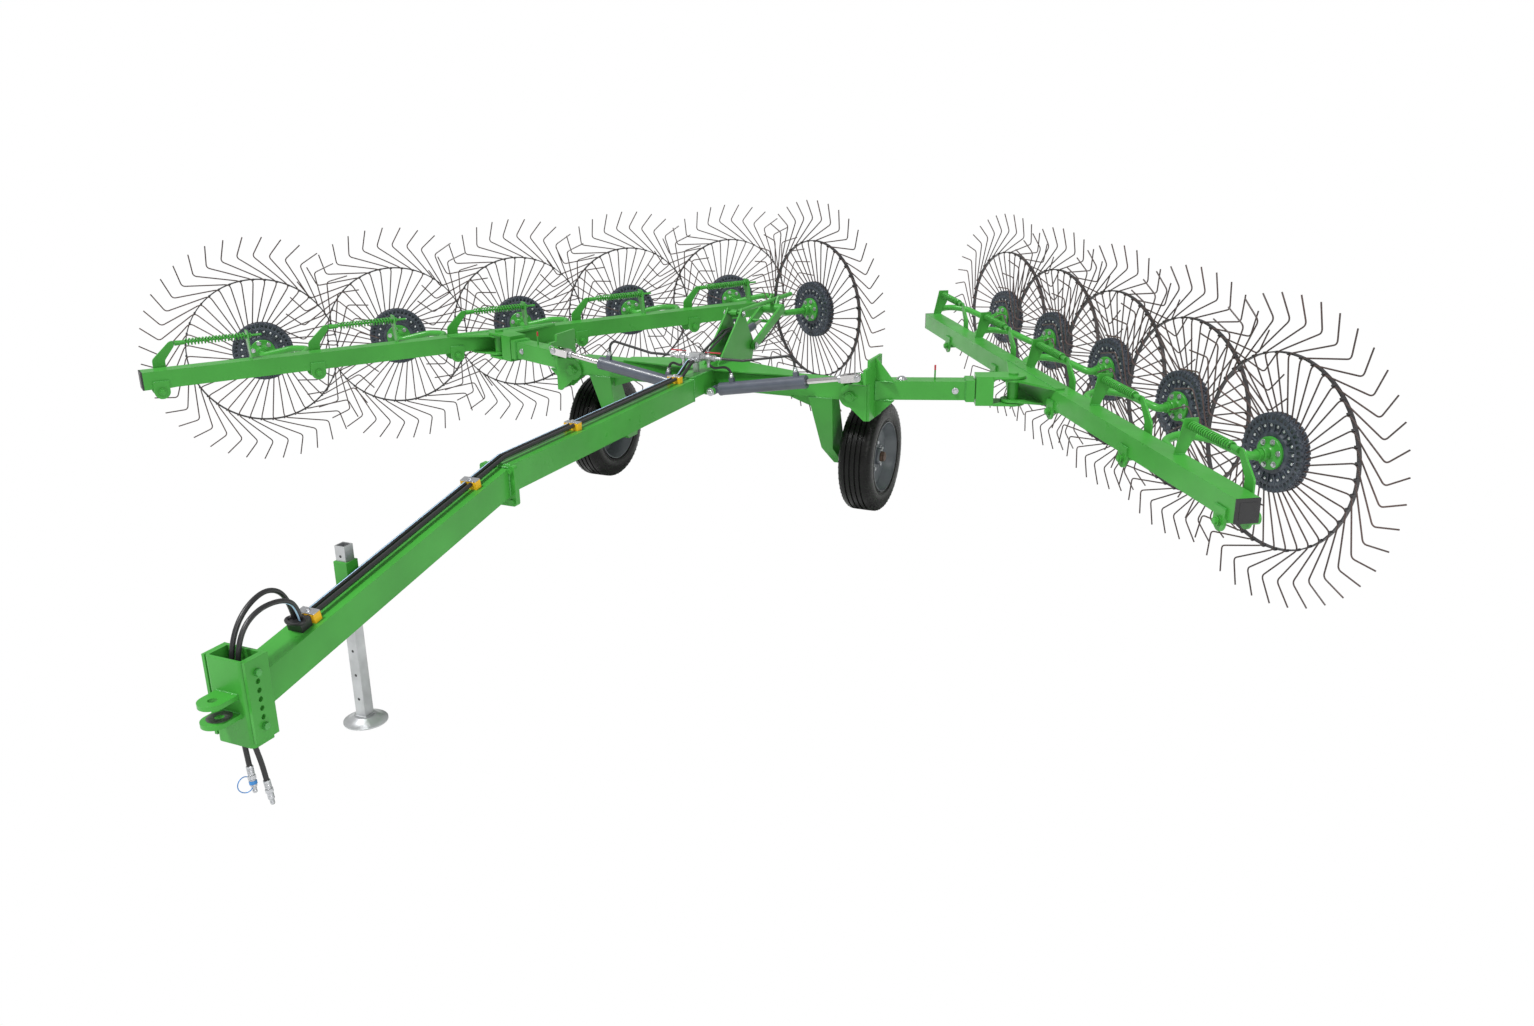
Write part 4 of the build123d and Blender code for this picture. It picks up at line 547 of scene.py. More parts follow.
# Finger wheels, each made flat round its own axis, with the hub's face at height 0
TINES = 40
WIRE_R = 0.0038
TINE_BACK = -0.056
HOOP_R = 0.443
DISC_R = 0.18
DISC_HALF = 0.027
HUB_R = 0.075
DISC_FRONT = TINE_BACK + DISC_HALF
DISC_REAR = TINE_BACK - DISC_HALF
HUB_FACE = DISC_FRONT + 0.014
HOOP_GAP = 0.0045
HOOP_WIDTH = 0.022
RIBS = TINES // 2


def turns(count, start=0):
    """The rotations that spread a number of copies round the Z axis."""
    return [Matrix.Rotation(2 * pi * (i + start) / count, 4, "Z") for i in range(count)]


def polar(radius, turn, height):
    return Vector((radius * cos(radians(turn)), radius * sin(radians(turn)), height))


def flipped(shape):
    """The shape's mirror image across its own X axis."""
    made = Shape()
    made.points = [Vector((-point.x, point.y, point.z)) for point in shape.points]
    made.faces = [face[::-1] for face in shape.faces]
    return made


def tines_shape():
    made = Shape()
    corners = [polar(0.15, -17.5, TINE_BACK), polar(HOOP_R, 0, TINE_BACK),
               polar(0.587, -25.5, TINE_BACK), polar(0.7025, -20.3, TINE_BACK)]
    line = [corners[0], *rounded(corners[:3], 0.03, 4)[1:-1], *rounded(corners[1:], 0.026, 5)[1:]]
    for turn in turns(TINES):
        made.tube(line, WIRE_R, 7, turn)
    return made


def hoop_shape():
    """The flat steel hoop behind the tines, with a small clip at each of them."""
    made = Shape()
    high = TINE_BACK - HOOP_GAP
    low = high - HOOP_WIDTH
    inner, outer = HOOP_R - 0.003, HOOP_R + 0.003
    made.lathe([(inner, low), (outer, low), (outer, high), (inner, high)], None, 120, closed=True)
    across = Matrix.Translation((HOOP_R, 0, TINE_BACK)) @ Matrix.Rotation(pi / 2, 4, "X")
    clip = box_outline(-0.006, 0.006, -0.012, 0.0055, 0.003, 2)
    for turn in turns(TINES):
        made.plate(clip, -0.005, 0.005, turn @ across)
    return made


def disc_shape():
    """The slate disc: two dished halves with ribs and seats for the tines."""
    made = Shape()
    half = [
        (DISC_R - 0.006, 0.004), (DISC_R, 0.008), (DISC_R - 0.001, 0.019),
        (DISC_R - 0.012, DISC_HALF - 0.001), (DISC_R - 0.045, DISC_HALF),
        (DISC_R - 0.052, DISC_HALF - 0.006), (HUB_R + 0.026, DISC_HALF - 0.008),
        (HUB_R + 0.018, DISC_HALF - 0.001), (HUB_R, DISC_HALF),
    ]
    front = [(radius, TINE_BACK + z) for radius, z in half]
    rear = [(radius, TINE_BACK - z) for radius, z in half]
    made.lathe([(0.03, DISC_FRONT), *front[::-1], (DISC_R - 0.01, TINE_BACK), *rear,
                (0.03, DISC_REAR)], None, 80, closed=True)
    inner, outer = DISC_R - 0.034, DISC_R - 0.0005
    corners = (inner, -0.0085), (outer, -0.0105), (outer, 0.0105), (inner, 0.0085)
    seat = outline_of(corners, 0.003, 2)
    for turn in turns(TINES, 0.5):
        made.plate(seat, TINE_BACK - DISC_HALF + 0.001, TINE_BACK + DISC_HALF - 0.0005, turn, 0.002)
    rib = box_outline(HUB_R + 0.022, DISC_R - 0.036, -0.003, 0.003, 0.002, 2)
    for turn in turns(RIBS):
        made.plate(rib, DISC_FRONT - 0.006, DISC_FRONT + 0.0005, turn, 0.001)
    return made


def rivets_shape():
    """The ring of small rivets between the ribs, and the hub's six bolts."""
    made = Shape()
    for index in range(RIBS):
        middle = polar(DISC_R - 0.056, 360 / RIBS * (index + 0.5), DISC_FRONT - 0.006)
        made.lathe([(0.0075, 0), (0.0065, 0.004), (0.003, 0.0055), (0.0003, 0.006)],
                   Matrix.Translation(middle), 12)
    for index in range(6):
        made.bolt(Matrix.Translation(polar(HUB_R * 0.76, 60 * index + 12, HUB_FACE)), 0.0095, 0.008)
    return made


def hub_shape():
    """The wheel's hub, with the cover plate behind it."""
    return Shape().lathe([
        (0.018, 0.0315), (0.032, 0.0315), (0.034, 0.029), (0.034, 0.006), (0.03, -0.002),
        (0.036, HUB_FACE + 0.004), (0.045, HUB_FACE), (HUB_R - 0.003, HUB_FACE),
        (HUB_R, HUB_FACE - 0.003), (HUB_R, DISC_FRONT), (0.018, DISC_FRONT),
    ], None, 56, closed=True).lathe([
        (TIP_R, DISC_REAR), (0.04, DISC_REAR), (0.04, DISC_REAR + 0.006),
        (TIP_R, DISC_REAR + 0.006),
    ], None, 40)


def finger_wheels():
    shapes = {
        "tines": (tines_shape(), tine, "tine_steel"),
        "hoop": (hoop_shape(), hoop_black, "tine_steel"),
        "disc": (disc_shape(), slate, "tine_steel"),
        "rivets": (rivets_shape(), bolt_zinc, "zinc_steel"),
        "hub": (hub_shape(), green, "green_paint"),
    }
    meshes = {}
    for name, (shape, material, slot) in shapes.items():
        for hand, form in (("left", shape), ("right", flipped(shape))):
            meshes[name, hand] = form.mesh(f"{name}_{hand}")
    for joint in frame["joints"]:
        wheel = joint["child"]
        if not wheel.startswith("finger_wheel"):
            continue
        hand = "right" if "right" in wheel else "left"
        axis = Vector(joint["axis"])
        across = Vector((axis.y, -axis.x, 0))
        place = frame_of(across, UP, -axis, joint["pos_m"])
        label = wheel.replace("finger_wheel_", "")
        for name, (shape, material, slot) in shapes.items():
            nodes = [wheel] if name == "disc" else []
            piece_of(meshes[name, hand], f"{name}_{label}", material, wheel, nodes, place)


# Road wheels
TYRE_R = 0.31
TYRE_HALF = 0.095
BEAD_R = 0.197
GROOVES = (-0.043, -0.0145, 0.0145, 0.043)
LUGS = 56
# A wall's depth below the tread and its distance from the middle, down to the bead
WALL = ((0.001, 0.062), (0.006, 0.072), (0.014, 0.0815), (0.026, 0.0885), (0.042, 0.093),
        (0.062, TYRE_HALF), (0.08, 0.094), (0.094, 0.0905), (0.096, 0.0925), (0.1, 0.0925),
        (0.102, 0.089))
CAP_PROFILE = ((0.0236, 0.0622), (0.0285, 0.0622), (0.0285, 0.072), (0.0262, 0.0745),
               (0.0262, 0.082), (0.023, 0.0845), (TIP_R, 0.085), (TIP_R, 0.0835), (0.0236, 0.0828))


def tyre_shape():
    """Ribbed tyre, flat on its axis: straight grooves, stepped shoulders, rounded walls."""
    outer = []
    floor = TYRE_R - 0.0085
    for groove in GROOVES:
        outer += [(TYRE_R, groove - 0.005), (floor, groove - 0.0035), (floor, groove + 0.0035),
                  (TYRE_R, groove + 0.005)]
    wall = [(TYRE_R - depth, z) for depth, z in WALL] + [(BEAD_R + 0.001, 0.084)]
    left = [(radius, -z) for radius, z in wall[::-1]]
    made = Shape().lathe([*left, *outer, *wall, (BEAD_R, 0.06), (BEAD_R, -0.06)], None, 96,
                         closed=True)
    lug = box_outline(-0.012, 0.012, -0.0035, 0.0035, 0.002, 2)
    for index in range(LUGS):
        turn = 2 * pi * index / LUGS
        outward = Vector((cos(turn), sin(turn), 0))
        for side in (-1, 1):
            middle = (TYRE_R - 0.012) * outward + UP * side * 0.0765
            place = looking(middle, outward + UP * side * 0.9, (-sin(turn), cos(turn), 0))
            made.plate(lug, -0.004, 0.0025, place, 0.001)
    return made


def rim_shape():
    """Dished rim with rolled edges, drop centre and a pressed disc; its face looks along +Z."""
    bed = BEAD_R - 0.0008
    return Shape().lathe([
        (bed - 0.004, -0.089), (bed, -0.0885), (bed, -0.08), (bed - 0.006, -0.07),
        (bed - 0.024, -0.04), (bed - 0.024, 0.036), (bed - 0.006, 0.066), (bed, 0.078),
        (bed, 0.0885), (bed - 0.004, 0.089), (bed - 0.007, 0.08), (bed - 0.012, 0.07),
        (bed - 0.03, 0.04), (bed - 0.034, 0.03), (0.136, 0.022), (0.118, 0.016), (0.108, 0.022),
        (0.098, 0.031), (0.058, 0.033), (0.048, 0.034), (0.046, 0.056), (0.04, 0.0615),
        (0.022, 0.0615), (0.022, 0.022), (0.098, 0.022), (0.11, 0.012), (0.124, 0.008),
        (bed - 0.034, 0.01), (bed - 0.03, -0.04), (bed - 0.012, -0.072),
    ], None, 72, closed=True)


def road_wheels():
    nuts = Shape()
    for index in range(5):
        nuts.bolt(Matrix.Translation(polar(0.078, 72 * index + 20, 0.033)), 0.011, 0.012)
    tyre_mesh, rim_mesh = tyre_shape().mesh("tyre"), rim_shape().mesh("rim")
    nut_mesh = nuts.mesh("wheel_nuts")
    cap_mesh = Shape().lathe(CAP_PROFILE, None, 36).mesh("spindle_cap")
    for side, sign in SIDES:
        place = looking(joints[f"road_wheel_spin_{side}"]["pos_m"], (sign, 0, 0))
        for mesh, name, material, slot, nodes in (
                (tyre_mesh, f"tyre_{side}_ribbed", tread, "tyre_rubber", [f"tyre_{side}"]),
                (rim_mesh, f"rim_{side}_dished", rim_grey, "rim_paint", [f"rim_{side}"]),
                (nut_mesh, f"wheel_nuts_{side}", bolt_zinc, "zinc_steel", ()),
                (cap_mesh, f"spindle_cap_{side}", rust, "rim_paint", ())):
            piece_of(mesh, name, material, f"road_wheel_{side}", nodes, place)


# Rake banks
BANK_TURN = radians(56.38)
FIRST_PIVOT = from_axle(2.8065, -1.5176, 0)
PITCH = 0.8543
PIVOT_Z = 0.684
WHEEL_TURN = radians(43.6)
# Along the beam from the arm's pivot, outboard, and height, as in the route
HUB = (0.6619, 0.5808, 0.727)
ARM_R = 0.02
ARM_BEND = 0.11
ARM_ROUTE = ((0.0, 0.142, PIVOT_Z), (0.5, 0.142, 0.724), (0.8075, 0.162, 0.767),
             (0.88, 0.281, 0.775), (0.8075, 0.395, 0.767))
LEVER = ((-0.026, -0.004), (0.0, -0.0252), (0.026, -0.004), (0.03, 0.05), (0.052, 0.098),
         (0.052, 0.15), (0.112, 0.228), (0.112, 0.2545), (0.088, 0.2545), (-0.014, 0.16),
         (-0.016, 0.09))
SPRING_OUT = 0.1203
SPRING_Z = 0.925
COIL_R = 0.0172
COIL_WIRE_R = 0.0043
COIL_TURNS = 18
COIL_POINTS = 12 * COIL_TURNS


def on_bank(along, out, height, sign):
    """A point of a bank, from its first pivot: along the beam to the rear, outboard and up."""
    x = FIRST_PIVOT.x - cos(BANK_TURN) * along + sin(BANK_TURN) * out
    y = FIRST_PIVOT.y + sin(BANK_TURN) * along + cos(BANK_TURN) * out
    return Vector((sign * x, y, height))


def bank_frame(along, out, height, sign):
    """A frame on a bank: X along the beam to the rear, Y up, Z outboard, mirrored on the right."""
    origin = on_bank(along, out, height, sign)
    x = on_bank(along + 1, out, height, sign) - origin
    z = on_bank(along, out + 1, height, sign) - origin
    return frame_of(x, UP, z, origin)


def bank_way(along, out, sign):
    """A direction on a bank, level, with 1 along the beam or outboard."""
    return on_bank(along, out, 0, sign) - on_bank(0, 0, 0, sign)


def wheel_arm(arms, start, sign):
    """An arm's bent tube from its pivot to the finger wheel's stub, with the pivot's bolts."""
    along, out, height = HUB
    hub = on_bank(start + along, out, height, sign)
    axis = Vector((sign * sin(WHEEL_TURN), cos(WHEEL_TURN), 0))
    route = [on_bank(start + along, out, z, sign) for along, out, z in ARM_ROUTE]
    route += [hub - axis * 0.098, hub - axis * 0.038]
    arms.tube(rounded(route, ARM_BEND, 8), ARM_R, 16)
    arms.tube([hub - axis * 0.052, hub - axis * 0.0335], 0.027, 20)
    arms.tube([hub - axis * 0.04, hub + axis * 0.004], 0.014, 14)
    place = bank_frame(start, 0, 0, sign)
    for ends, radius, sides in (((-0.0153, 0.149), 0.0139, 18), ((0.112, 0.162), 0.026, 24)):
        arms.tube([place @ Vector((0, PIVOT_Z, out)) for out in ends], radius, sides)
    for out in (-0.0055, -0.0155):
        arms.bolt(looking(on_bank(start, out, PIVOT_Z, sign), bank_way(0, -1, sign)), 0.015, 0.009)


def coil_spring(coils, start, sign):
    """A coil on its rod, from the eye at the lever's top to the two nuts behind it."""
    def line(*places):
        return [on_bank(start + along, SPRING_OUT, SPRING_Z, sign) for along in places]

    coils.tube(line(0.1143, 0.17), [0.015, 0.012], 12)
    first, last = start + 0.174, start + 0.4975
    spiral = []
    for step in range(COIL_POINTS + 1):
        share = step / COIL_POINTS
        angle = 2 * pi * share * COIL_TURNS
        spiral.append(on_bank(first + (last - first) * share, SPRING_OUT + COIL_R * cos(angle),
                              SPRING_Z + COIL_R * sin(angle), sign))
    coils.tube(spiral, COIL_WIRE_R, 7)
    coils.tube(line(0.165, 0.584), 0.0065, 12)
    nut = looking(*line(0.5085), bank_way(1, 0, sign))
    coils.plate(ring(0.0148, 6), 0, 0.01, nut, 0.001)
    coils.plate(ring(0.0148, 6, 0.4), 0.0105, 0.0195, nut, 0.001)


def banks():
    for side, sign in SIDES:
        body = f"rake_bank_{side}"
        arms, levers, coils, hardware = Shape(), Shape(), Shape(), Shape()
        for index in range(5):
            start = PITCH * index
            wheel_arm(arms, start, sign)
            pivot = bank_frame(start, 0, 0, sign) @ Matrix.Translation((0, PIVOT_Z, 0))
            levers.plate(outline_of(LEVER, 0.03), 0.1154, 0.1252, pivot, 0.0012)
            coil_spring(coils, start, sign)
            hardware.bolt(bank_frame(start + 0.102, 0.1253, SPRING_Z, sign), 0.01, 0.007)
        if sign < 0:
            levers.faces = [face[::-1] for face in levers.faces]
        arms.piece(f"arm_tubes_{side}", green, body, "green_paint", [f"wheel_arms_{side}"])
        levers.piece(f"arm_levers_{side}", green, body, "green_paint")
        coils.piece(f"coil_springs_{side}", green, body, "green_paint", [f"springs_{side}"])
        hardware.piece(f"bank_bolts_{side}", bolt_zinc, body, "zinc_steel")


# Drawbar and hose clamps: each clamp's Y, and 1 where the bar slopes
CLAMPS = ((-0.69, 0.0), (-1.69, 0.0), (-2.46, 1.0), (-3.4, 1.0))
CLAMP_X = 0.037
CLAMP_Y = 0.017
CLAMP_TOP = 0.034
CLAMP_SPLIT = (0.0238, 0.0242)
SEAT_R = 0.0093
SLOPE = radians(11.8)
BAR_TOP = 0.8
KINK_Y = -2.284
KINK_Z = 0.7906


def over_bar(y, lift, sloped):
    """The frame above the drawbar's top: X across it, Y square to it and up, Z forward along it."""
    tilt = SLOPE * sloped
    base = BAR_TOP if not sloped else KINK_Z - (KINK_Y - y) * tan(tilt)
    origin = from_axle(0, y - lift * sin(tilt), base + lift * cos(tilt))
    return frame_of(X, (0, -sin(tilt), cos(tilt)), (0, -cos(tilt), -sin(tilt)), origin)


def seats(height, way):
    """The edge that two hoses leave in a clamp's half, from its first side to the other."""
    edge = []
    for centre in (-0.014 * way, 0.014 * way):
        for turn in (pi * step / 10 for step in range(11)):
            edge.append((centre - way * SEAT_R * cos(turn), height + way * SEAT_R * sin(turn)))
    return edge


def hose_clamps():
    low, high = CLAMP_SPLIT
    lower = [(-CLAMP_X, 0.0), (CLAMP_X, 0.0), (CLAMP_X, low), *seats(low, -1), (-CLAMP_X, low)]
    upper = [(CLAMP_X, high), (CLAMP_X, CLAMP_TOP), (-CLAMP_X, CLAMP_TOP), (-CLAMP_X, high),
             *seats(high, 1)]
    cover = box_outline(-CLAMP_X, CLAMP_X, 0.0342, 0.0378, 0.001, 2)
    bodies, plates = Shape(), Shape()
    for y, sloped in CLAMPS:
        place = over_bar(y, 0, sloped)
        bodies.plate(lower, -CLAMP_Y, CLAMP_Y, place)
        bodies.plate(upper, -CLAMP_Y, CLAMP_Y, place)
        plates.plate(cover, -0.0165, 0.0165, place)
        top = over_bar(y, 0.0378, sloped) @ Matrix.Rotation(-pi / 2, 4, "X")
        plates.bolt(top, 0.008, 0.006)
    bodies.piece("clamp_bodies", yellow, "frame", "clamp_plastic", ["hose_clamps"])
    plates.piece("clamp_plates", bolt_zinc, "frame", "zinc_steel")


# Ends of the held hoses: a nut and a crimped sleeve at each fitting, a collar at each ram's port
RAM_BASE = from_axle(0.095, -0.4, 0.708)
RAM_EYE = from_axle(0.925, -0.4, 0.848)
RAM_DIR = (RAM_EYE - RAM_BASE).normalized()
RAM_UP = RAM_DIR.cross(Y)
PORTS = (0.109, 0.491)
PORT_TOP = 0.0573
COLLAR = ((0.0085, 0.0), (0.0122, 0.0), (0.013, 0.002), (0.013, 0.011), (0.0114, 0.013),
          (0.0114, 0.023), (0.0108, 0.025), (0.0085, 0.025))
# The crimped sleeve's radius by the hose's, and its height
CRIMP = ((1.04, 0.011), (1.25, 0.011), (1.32, 0.013), (1.32, 0.018), (1.2, 0.02), (1.32, 0.022),
         (1.32, 0.028), (1.2, 0.03), (1.32, 0.032), (1.32, 0.036), (1.04, 0.038))
THIN_HOSE_R = 0.007
COCK_X = 0.075
COCK_BAND = ((0.0143, -0.015), (0.0185, -0.012), (0.0205, 0), (0.0185, 0.012), (0.0143, 0.015))
VALVE = from_axle(0, -0.44, 0.89)
VALVE_PORTS = (((0.1185, 0, 0), X, THIN_HOSE_R), ((COCK_X, 0, -0.0145), -UP, THIN_HOSE_R),
               ((0.014, 0.0225, 0), Y, THIN_HOSE_R), ((0.014, -0.0225, -0.013), -Y, HOSE_R))
# Start and end along X, and radius
VALVE_NUTS = ((0.0315, 0.044, 0.0185), (0.048, 0.058, 0.0168), (0.094, 0.104, 0.0168),
              (0.1055, 0.1175, 0.0175))
CENTRE_LOW = from_axle(0, 0.13, 0.905)
CENTRE_FRONT = Vector((0, -1, 1)).normalized()


def flip_x(point, sign):
    return Vector((point.x * sign, point.y, point.z))


def facing(point, way, sign):
    """The frame at a point of the left side, or at its mirror image, that looks one way."""
    return looking(flip_x(point, sign), flip_x(way, sign))


def hose_end(shape, place, radius, nut=1.55):
    """A hexagon nut, nut times as wide as the hose, and the crimped sleeve behind it."""
    shape.plate(ring(radius * nut, 6), 0.0, 0.011, place, 0.001)
    shape.lathe([(radius * share, height) for share, height in CRIMP], place, 20, closed=True)


def hose_fittings():
    ends = Shape()
    for sign in (1, -1):
        for place, way, radius in VALVE_PORTS:
            hose_end(ends, facing(VALVE + Vector(place), way, sign), radius)
        low = CENTRE_LOW + CENTRE_FRONT * 0.0255 + X * 0.009
        hose_end(ends, facing(low, CENTRE_FRONT, sign), THIN_HOSE_R, 1.27)
    ends.piece("hose_ends", bolt_zinc, "frame", "zinc_steel")
    for side, sign in SIDES:
        collars = Shape()
        for port in PORTS:
            top = RAM_BASE + RAM_DIR * port + RAM_UP * PORT_TOP
            collars.lathe(COLLAR, facing(top, RAM_UP, sign), 24, closed=True)
        collars.piece(f"port_nuts_{side}", bolt_zinc, f"lift_barrel_{side}", "zinc_steel")


def valve_fittings():
    """Galvanised nuts and collars on the cocks, and the pin and nut of each handle."""
    made = Shape()
    for sign in (1, -1):
        for start, end, radius in VALVE_NUTS:
            place = facing(VALVE + X * start, X, sign)
            made.plate(ring(radius, 6, 0.3), 0, end - start, place, 0.001)
        ball = VALVE + X * COCK_X
        made.lathe(COCK_BAND, facing(ball, X, sign), 28, closed=True)
        made.bolt(facing(ball + UP * 0.0322, UP, sign), 0.0065, 0.005)
    for y in (-0.0228, 0.0228):
        for z in (-0.008, 0.008):
            made.lathe(button(0.0045, 0.003), looking(VALVE + Vector((0, y, z)), (0, y, 0)), 14)
    made.piece("valve_nuts", zinc, "frame", "zinc_steel")


# Pins, bolts and welds
def box_weld(shape, centre, across, up, width, height, radius=0.0042):
    """A weld bead round a square tube where it meets a plate."""
    across, up = across * (width / 2), up * (height / 2)
    corners = [centre + across * x + up * y for x, y in SQUARE]
    for start, end in zip(corners, corners[1:] + corners[:1]):
        shape.weld([start, end], radius)


ARM_TURN = radians(20.5)
ARM_DIR = Vector((cos(ARM_TURN), sin(ARM_TURN), 0))
ARM_SIDE = Vector((-sin(ARM_TURN), cos(ARM_TURN), 0))
ARM_START = from_axle(0.965, -0.209, 0.75)
EYE_HALF = 0.0312
BUSH_PROFILE = ((0.0153, 0), (0.0215, 0), (0.0215, 0.018), (0.02, 0.02), (0.0153, 0.02))
DOME_PROFILE = ((0.03, 0), (0.03, 0.003), (0.024, 0.004), (0.021, 0.011), (0.012, 0.017),
                (TIP_R, 0.019))
HINGE_PROFILE = ((TIP_R, 0), (0.0265, 0), (0.0265, 0.003), (0.018, 0.0045), (0.018, 0.009),
                 (TIP_R, 0.01))
EYE_PROFILE = ((TIP_R, 0), (0.0155, 0), (0.0155, 0.005), (0.013, 0.007), (TIP_R, 0.0075))
# Start and end along the ram, and inner radius
RAM_RING_R = 0.0362
RAM_RINGS = ((0.52, 0.5455, 0.0165), (0.029, 0.04, 0.034))


def on_arm(along, side=0.0, height=0.0):
    """A point of the left lift arm, from the start of its tube."""
    return ARM_START + ARM_DIR * along + ARM_SIDE * side + UP * height


def arm_fittings(side, sign):
    """The lift arm's bolts, pins and welds."""
    hardware, welds, mark, pins = Shape(), Shape(), Shape(), Shape()
    hardware.bolt(facing(on_arm(0.405, -0.05), -ARM_SIDE, sign), 0.012, 0.009)
    hardware.lathe(DOME_PROFILE, facing(on_arm(0.125, 0, 0.05), UP, sign), 32)
    pin = on_arm(0.3, 0, 0.05)
    for shape, ends, radius in ((mark, (0.052, 0.078), 0.0049), (pins, (0.0, 0.053), 0.0046)):
        shape.tube([flip_x(pin + UP * z, sign) for z in ends], radius, 12)
    hinge = looking(from_axle(sign * 0.858, -0.36, 0.728), -Y)
    pins.lathe(HINGE_PROFILE, hinge, 32)
    pins.plate(box_outline(-0.04, 0.04, -0.007, 0.007, 0.006, 4), 0.0002, 0.0028, hinge, 0.0006)
    box_weld(welds, flip_x(on_arm(0.004), sign), Y, UP, 0.108, 0.1)
    for height in (0.0505, -0.0505):
        for y in (-0.2535, -0.2385):
            low = from_axle(0.971, y, ARM_START.z + height)
            welds.weld([flip_x(low + X * run, sign) for run in (0, 0.095)], 0.003)
    box_weld(welds, flip_x(on_arm(0.4602), sign), flip_x(ARM_SIDE, sign), UP, 0.104, 0.104, 0.0036)
    body = f"lift_arm_{side}"
    hardware.piece(f"arm_bolts_{side}", bolt_zinc, body, "zinc_steel")
    welds.piece(f"arm_welds_{side}", weld_green, body, "green_paint")
    mark.piece(f"arm_pin_mark_{side}", red, body, "handle_plastic")
    pins.piece(f"arm_pin_{side}", green, body, "green_paint")


def rod_eye(side, sign):
    """The pin through the rod's eye, with its clip, and the bush where the rod ends."""
    eye = Shape()
    for way in (-1, 1):
        eye.lathe(EYE_PROFILE, facing(RAM_EYE + Y * way * EYE_HALF, Y * way, sign), 28)
    clip = looking(flip_x(RAM_EYE + Vector((0.004, -0.034, 0.016)), sign), (0, 1, 0.2))
    eye.tube([clip @ Vector((x, y, 0)) for x, y in ring(0.016, 20)], 0.0018, 6, closed=True)
    bush = facing(RAM_EYE - RAM_DIR * 0.1125, RAM_DIR, sign)
    eye.lathe(BUSH_PROFILE, bush, 28, closed=True)
    eye.piece(f"rod_eye_pin_{side}", zinc, f"lift_rod_{side}", "zinc_steel")


def ram_rings(side, sign):
    """The barrel's gland and its base ring, a little wider than the barrel."""
    rings = Shape()
    for start, end, inner in RAM_RINGS:
        place = facing(RAM_BASE + RAM_DIR * start, RAM_DIR, sign)
        depth = end - start
        rings.lathe([(inner, 0), (RAM_RING_R - 0.001, 0), (RAM_RING_R, 0.001),
                     (RAM_RING_R, depth - 0.0015), (RAM_RING_R - 0.0015, depth), (inner, depth)],
                    place, 48, closed=True)
    rings.piece(f"ram_rings_{side}", ram_grey, f"lift_barrel_{side}", "ram_paint")


FRAME_BOLTS = (((0.095, -0.4648, 0.708), -Y, 0.015, 0.01), ((0.0555, 0.06, 1.045), X, 0.011, 0.008),
               ((0.0775, 0.185, 0.838), X, 0.014, 0.01))
FRAME_WELDS = (
    ((0.0505, -0.27, 0.8085), (0.0505, -0.072, 0.8085), 0.0036),
    ((0.055, -0.584, 0.8085), (0.0595, -0.36, 0.8085), 0.0034),
    ((0.612, -0.3305, 0.7), (0.752, -0.3305, 0.7), 0.004),
)
BAR_WELDS = ((-2.2685, 0.74, 0.122, 0.12), (-2.286, 0.733, 0.122, 0.122),
             (-0.5865, 0.74, 0.12, 0.118))
CLEVIS_WELDS = (0.379, 0.395, 0.447, 0.463)
WEAR_PROFILE = ((0.016, 0.0), (0.041, 0.0), (0.041, 0.0012), (0.016, 0.0012))


def frame_details():
    """The frame's bolts and welds, the rubbed ring on the clevis and the ring of the hose boot."""
    hardware, welds = Shape(), Shape()
    for sign in (1, -1):
        for place, way, radius, height in FRAME_BOLTS:
            hardware.bolt(facing(from_axle(*place), way, sign), radius, height)
        for start, end, radius in FRAME_WELDS:
            welds.weld([from_axle(sign * x, y, z) for x, y, z in (start, end)], radius)
    for y, z, width, height in BAR_WELDS:
        box_weld(welds, from_axle(0, y, z), X, UP, width, height)
    for z in CLEVIS_WELDS:
        welds.weld([from_axle(x, -3.7912, z) for x in (-0.047, 0.047)], 0.0038)
    hardware.piece("frame_bolts", bolt_zinc, "frame", "zinc_steel")
    welds.piece("frame_welds", weld_green, "frame", "green_paint")
    wear = Shape().lathe(WEAR_PROFILE, looking(from_axle(0, -3.835, 0.3952), UP), 48, closed=True)
    wear.piece("clevis_wear_ring", worn, "frame", "zinc_steel")
    place = over_bar(-3.4615, 0.0375, 1) @ Matrix.Rotation(-pi / 2, 4, "X")
    loop = [place @ Vector((0.036 * x, 0.02 * y, 0)) for x, y in ring(1, 36)]
    boot_ring = Shape().tube(loop, 0.0075, 12, closed=True)
    boot_ring.piece("boot_ring", cap_black, "frame", "hose_rubber")


# Each weld's two ends along and outboard, and its height: for each arm, and for each bank
ARM_SEAMS = (
    ((0.4985, 0.058), (0.4985, 0.104), 0.8012), ((0.5095, 0.058), (0.5095, 0.104), 0.8012),
    ((-0.041, -0.0002), (0.041, -0.0002), 0.7425), ((-0.041, 0.1102), (0.041, 0.1102), 0.7425),
)
BANK_SEAMS = (
    ((1.6722, 0.004), (2.3722, 0.004), 0.8125), ((1.8222, 0.004), (2.3722, 0.004), 0.6875),
)
CAP_HALF = 0.036


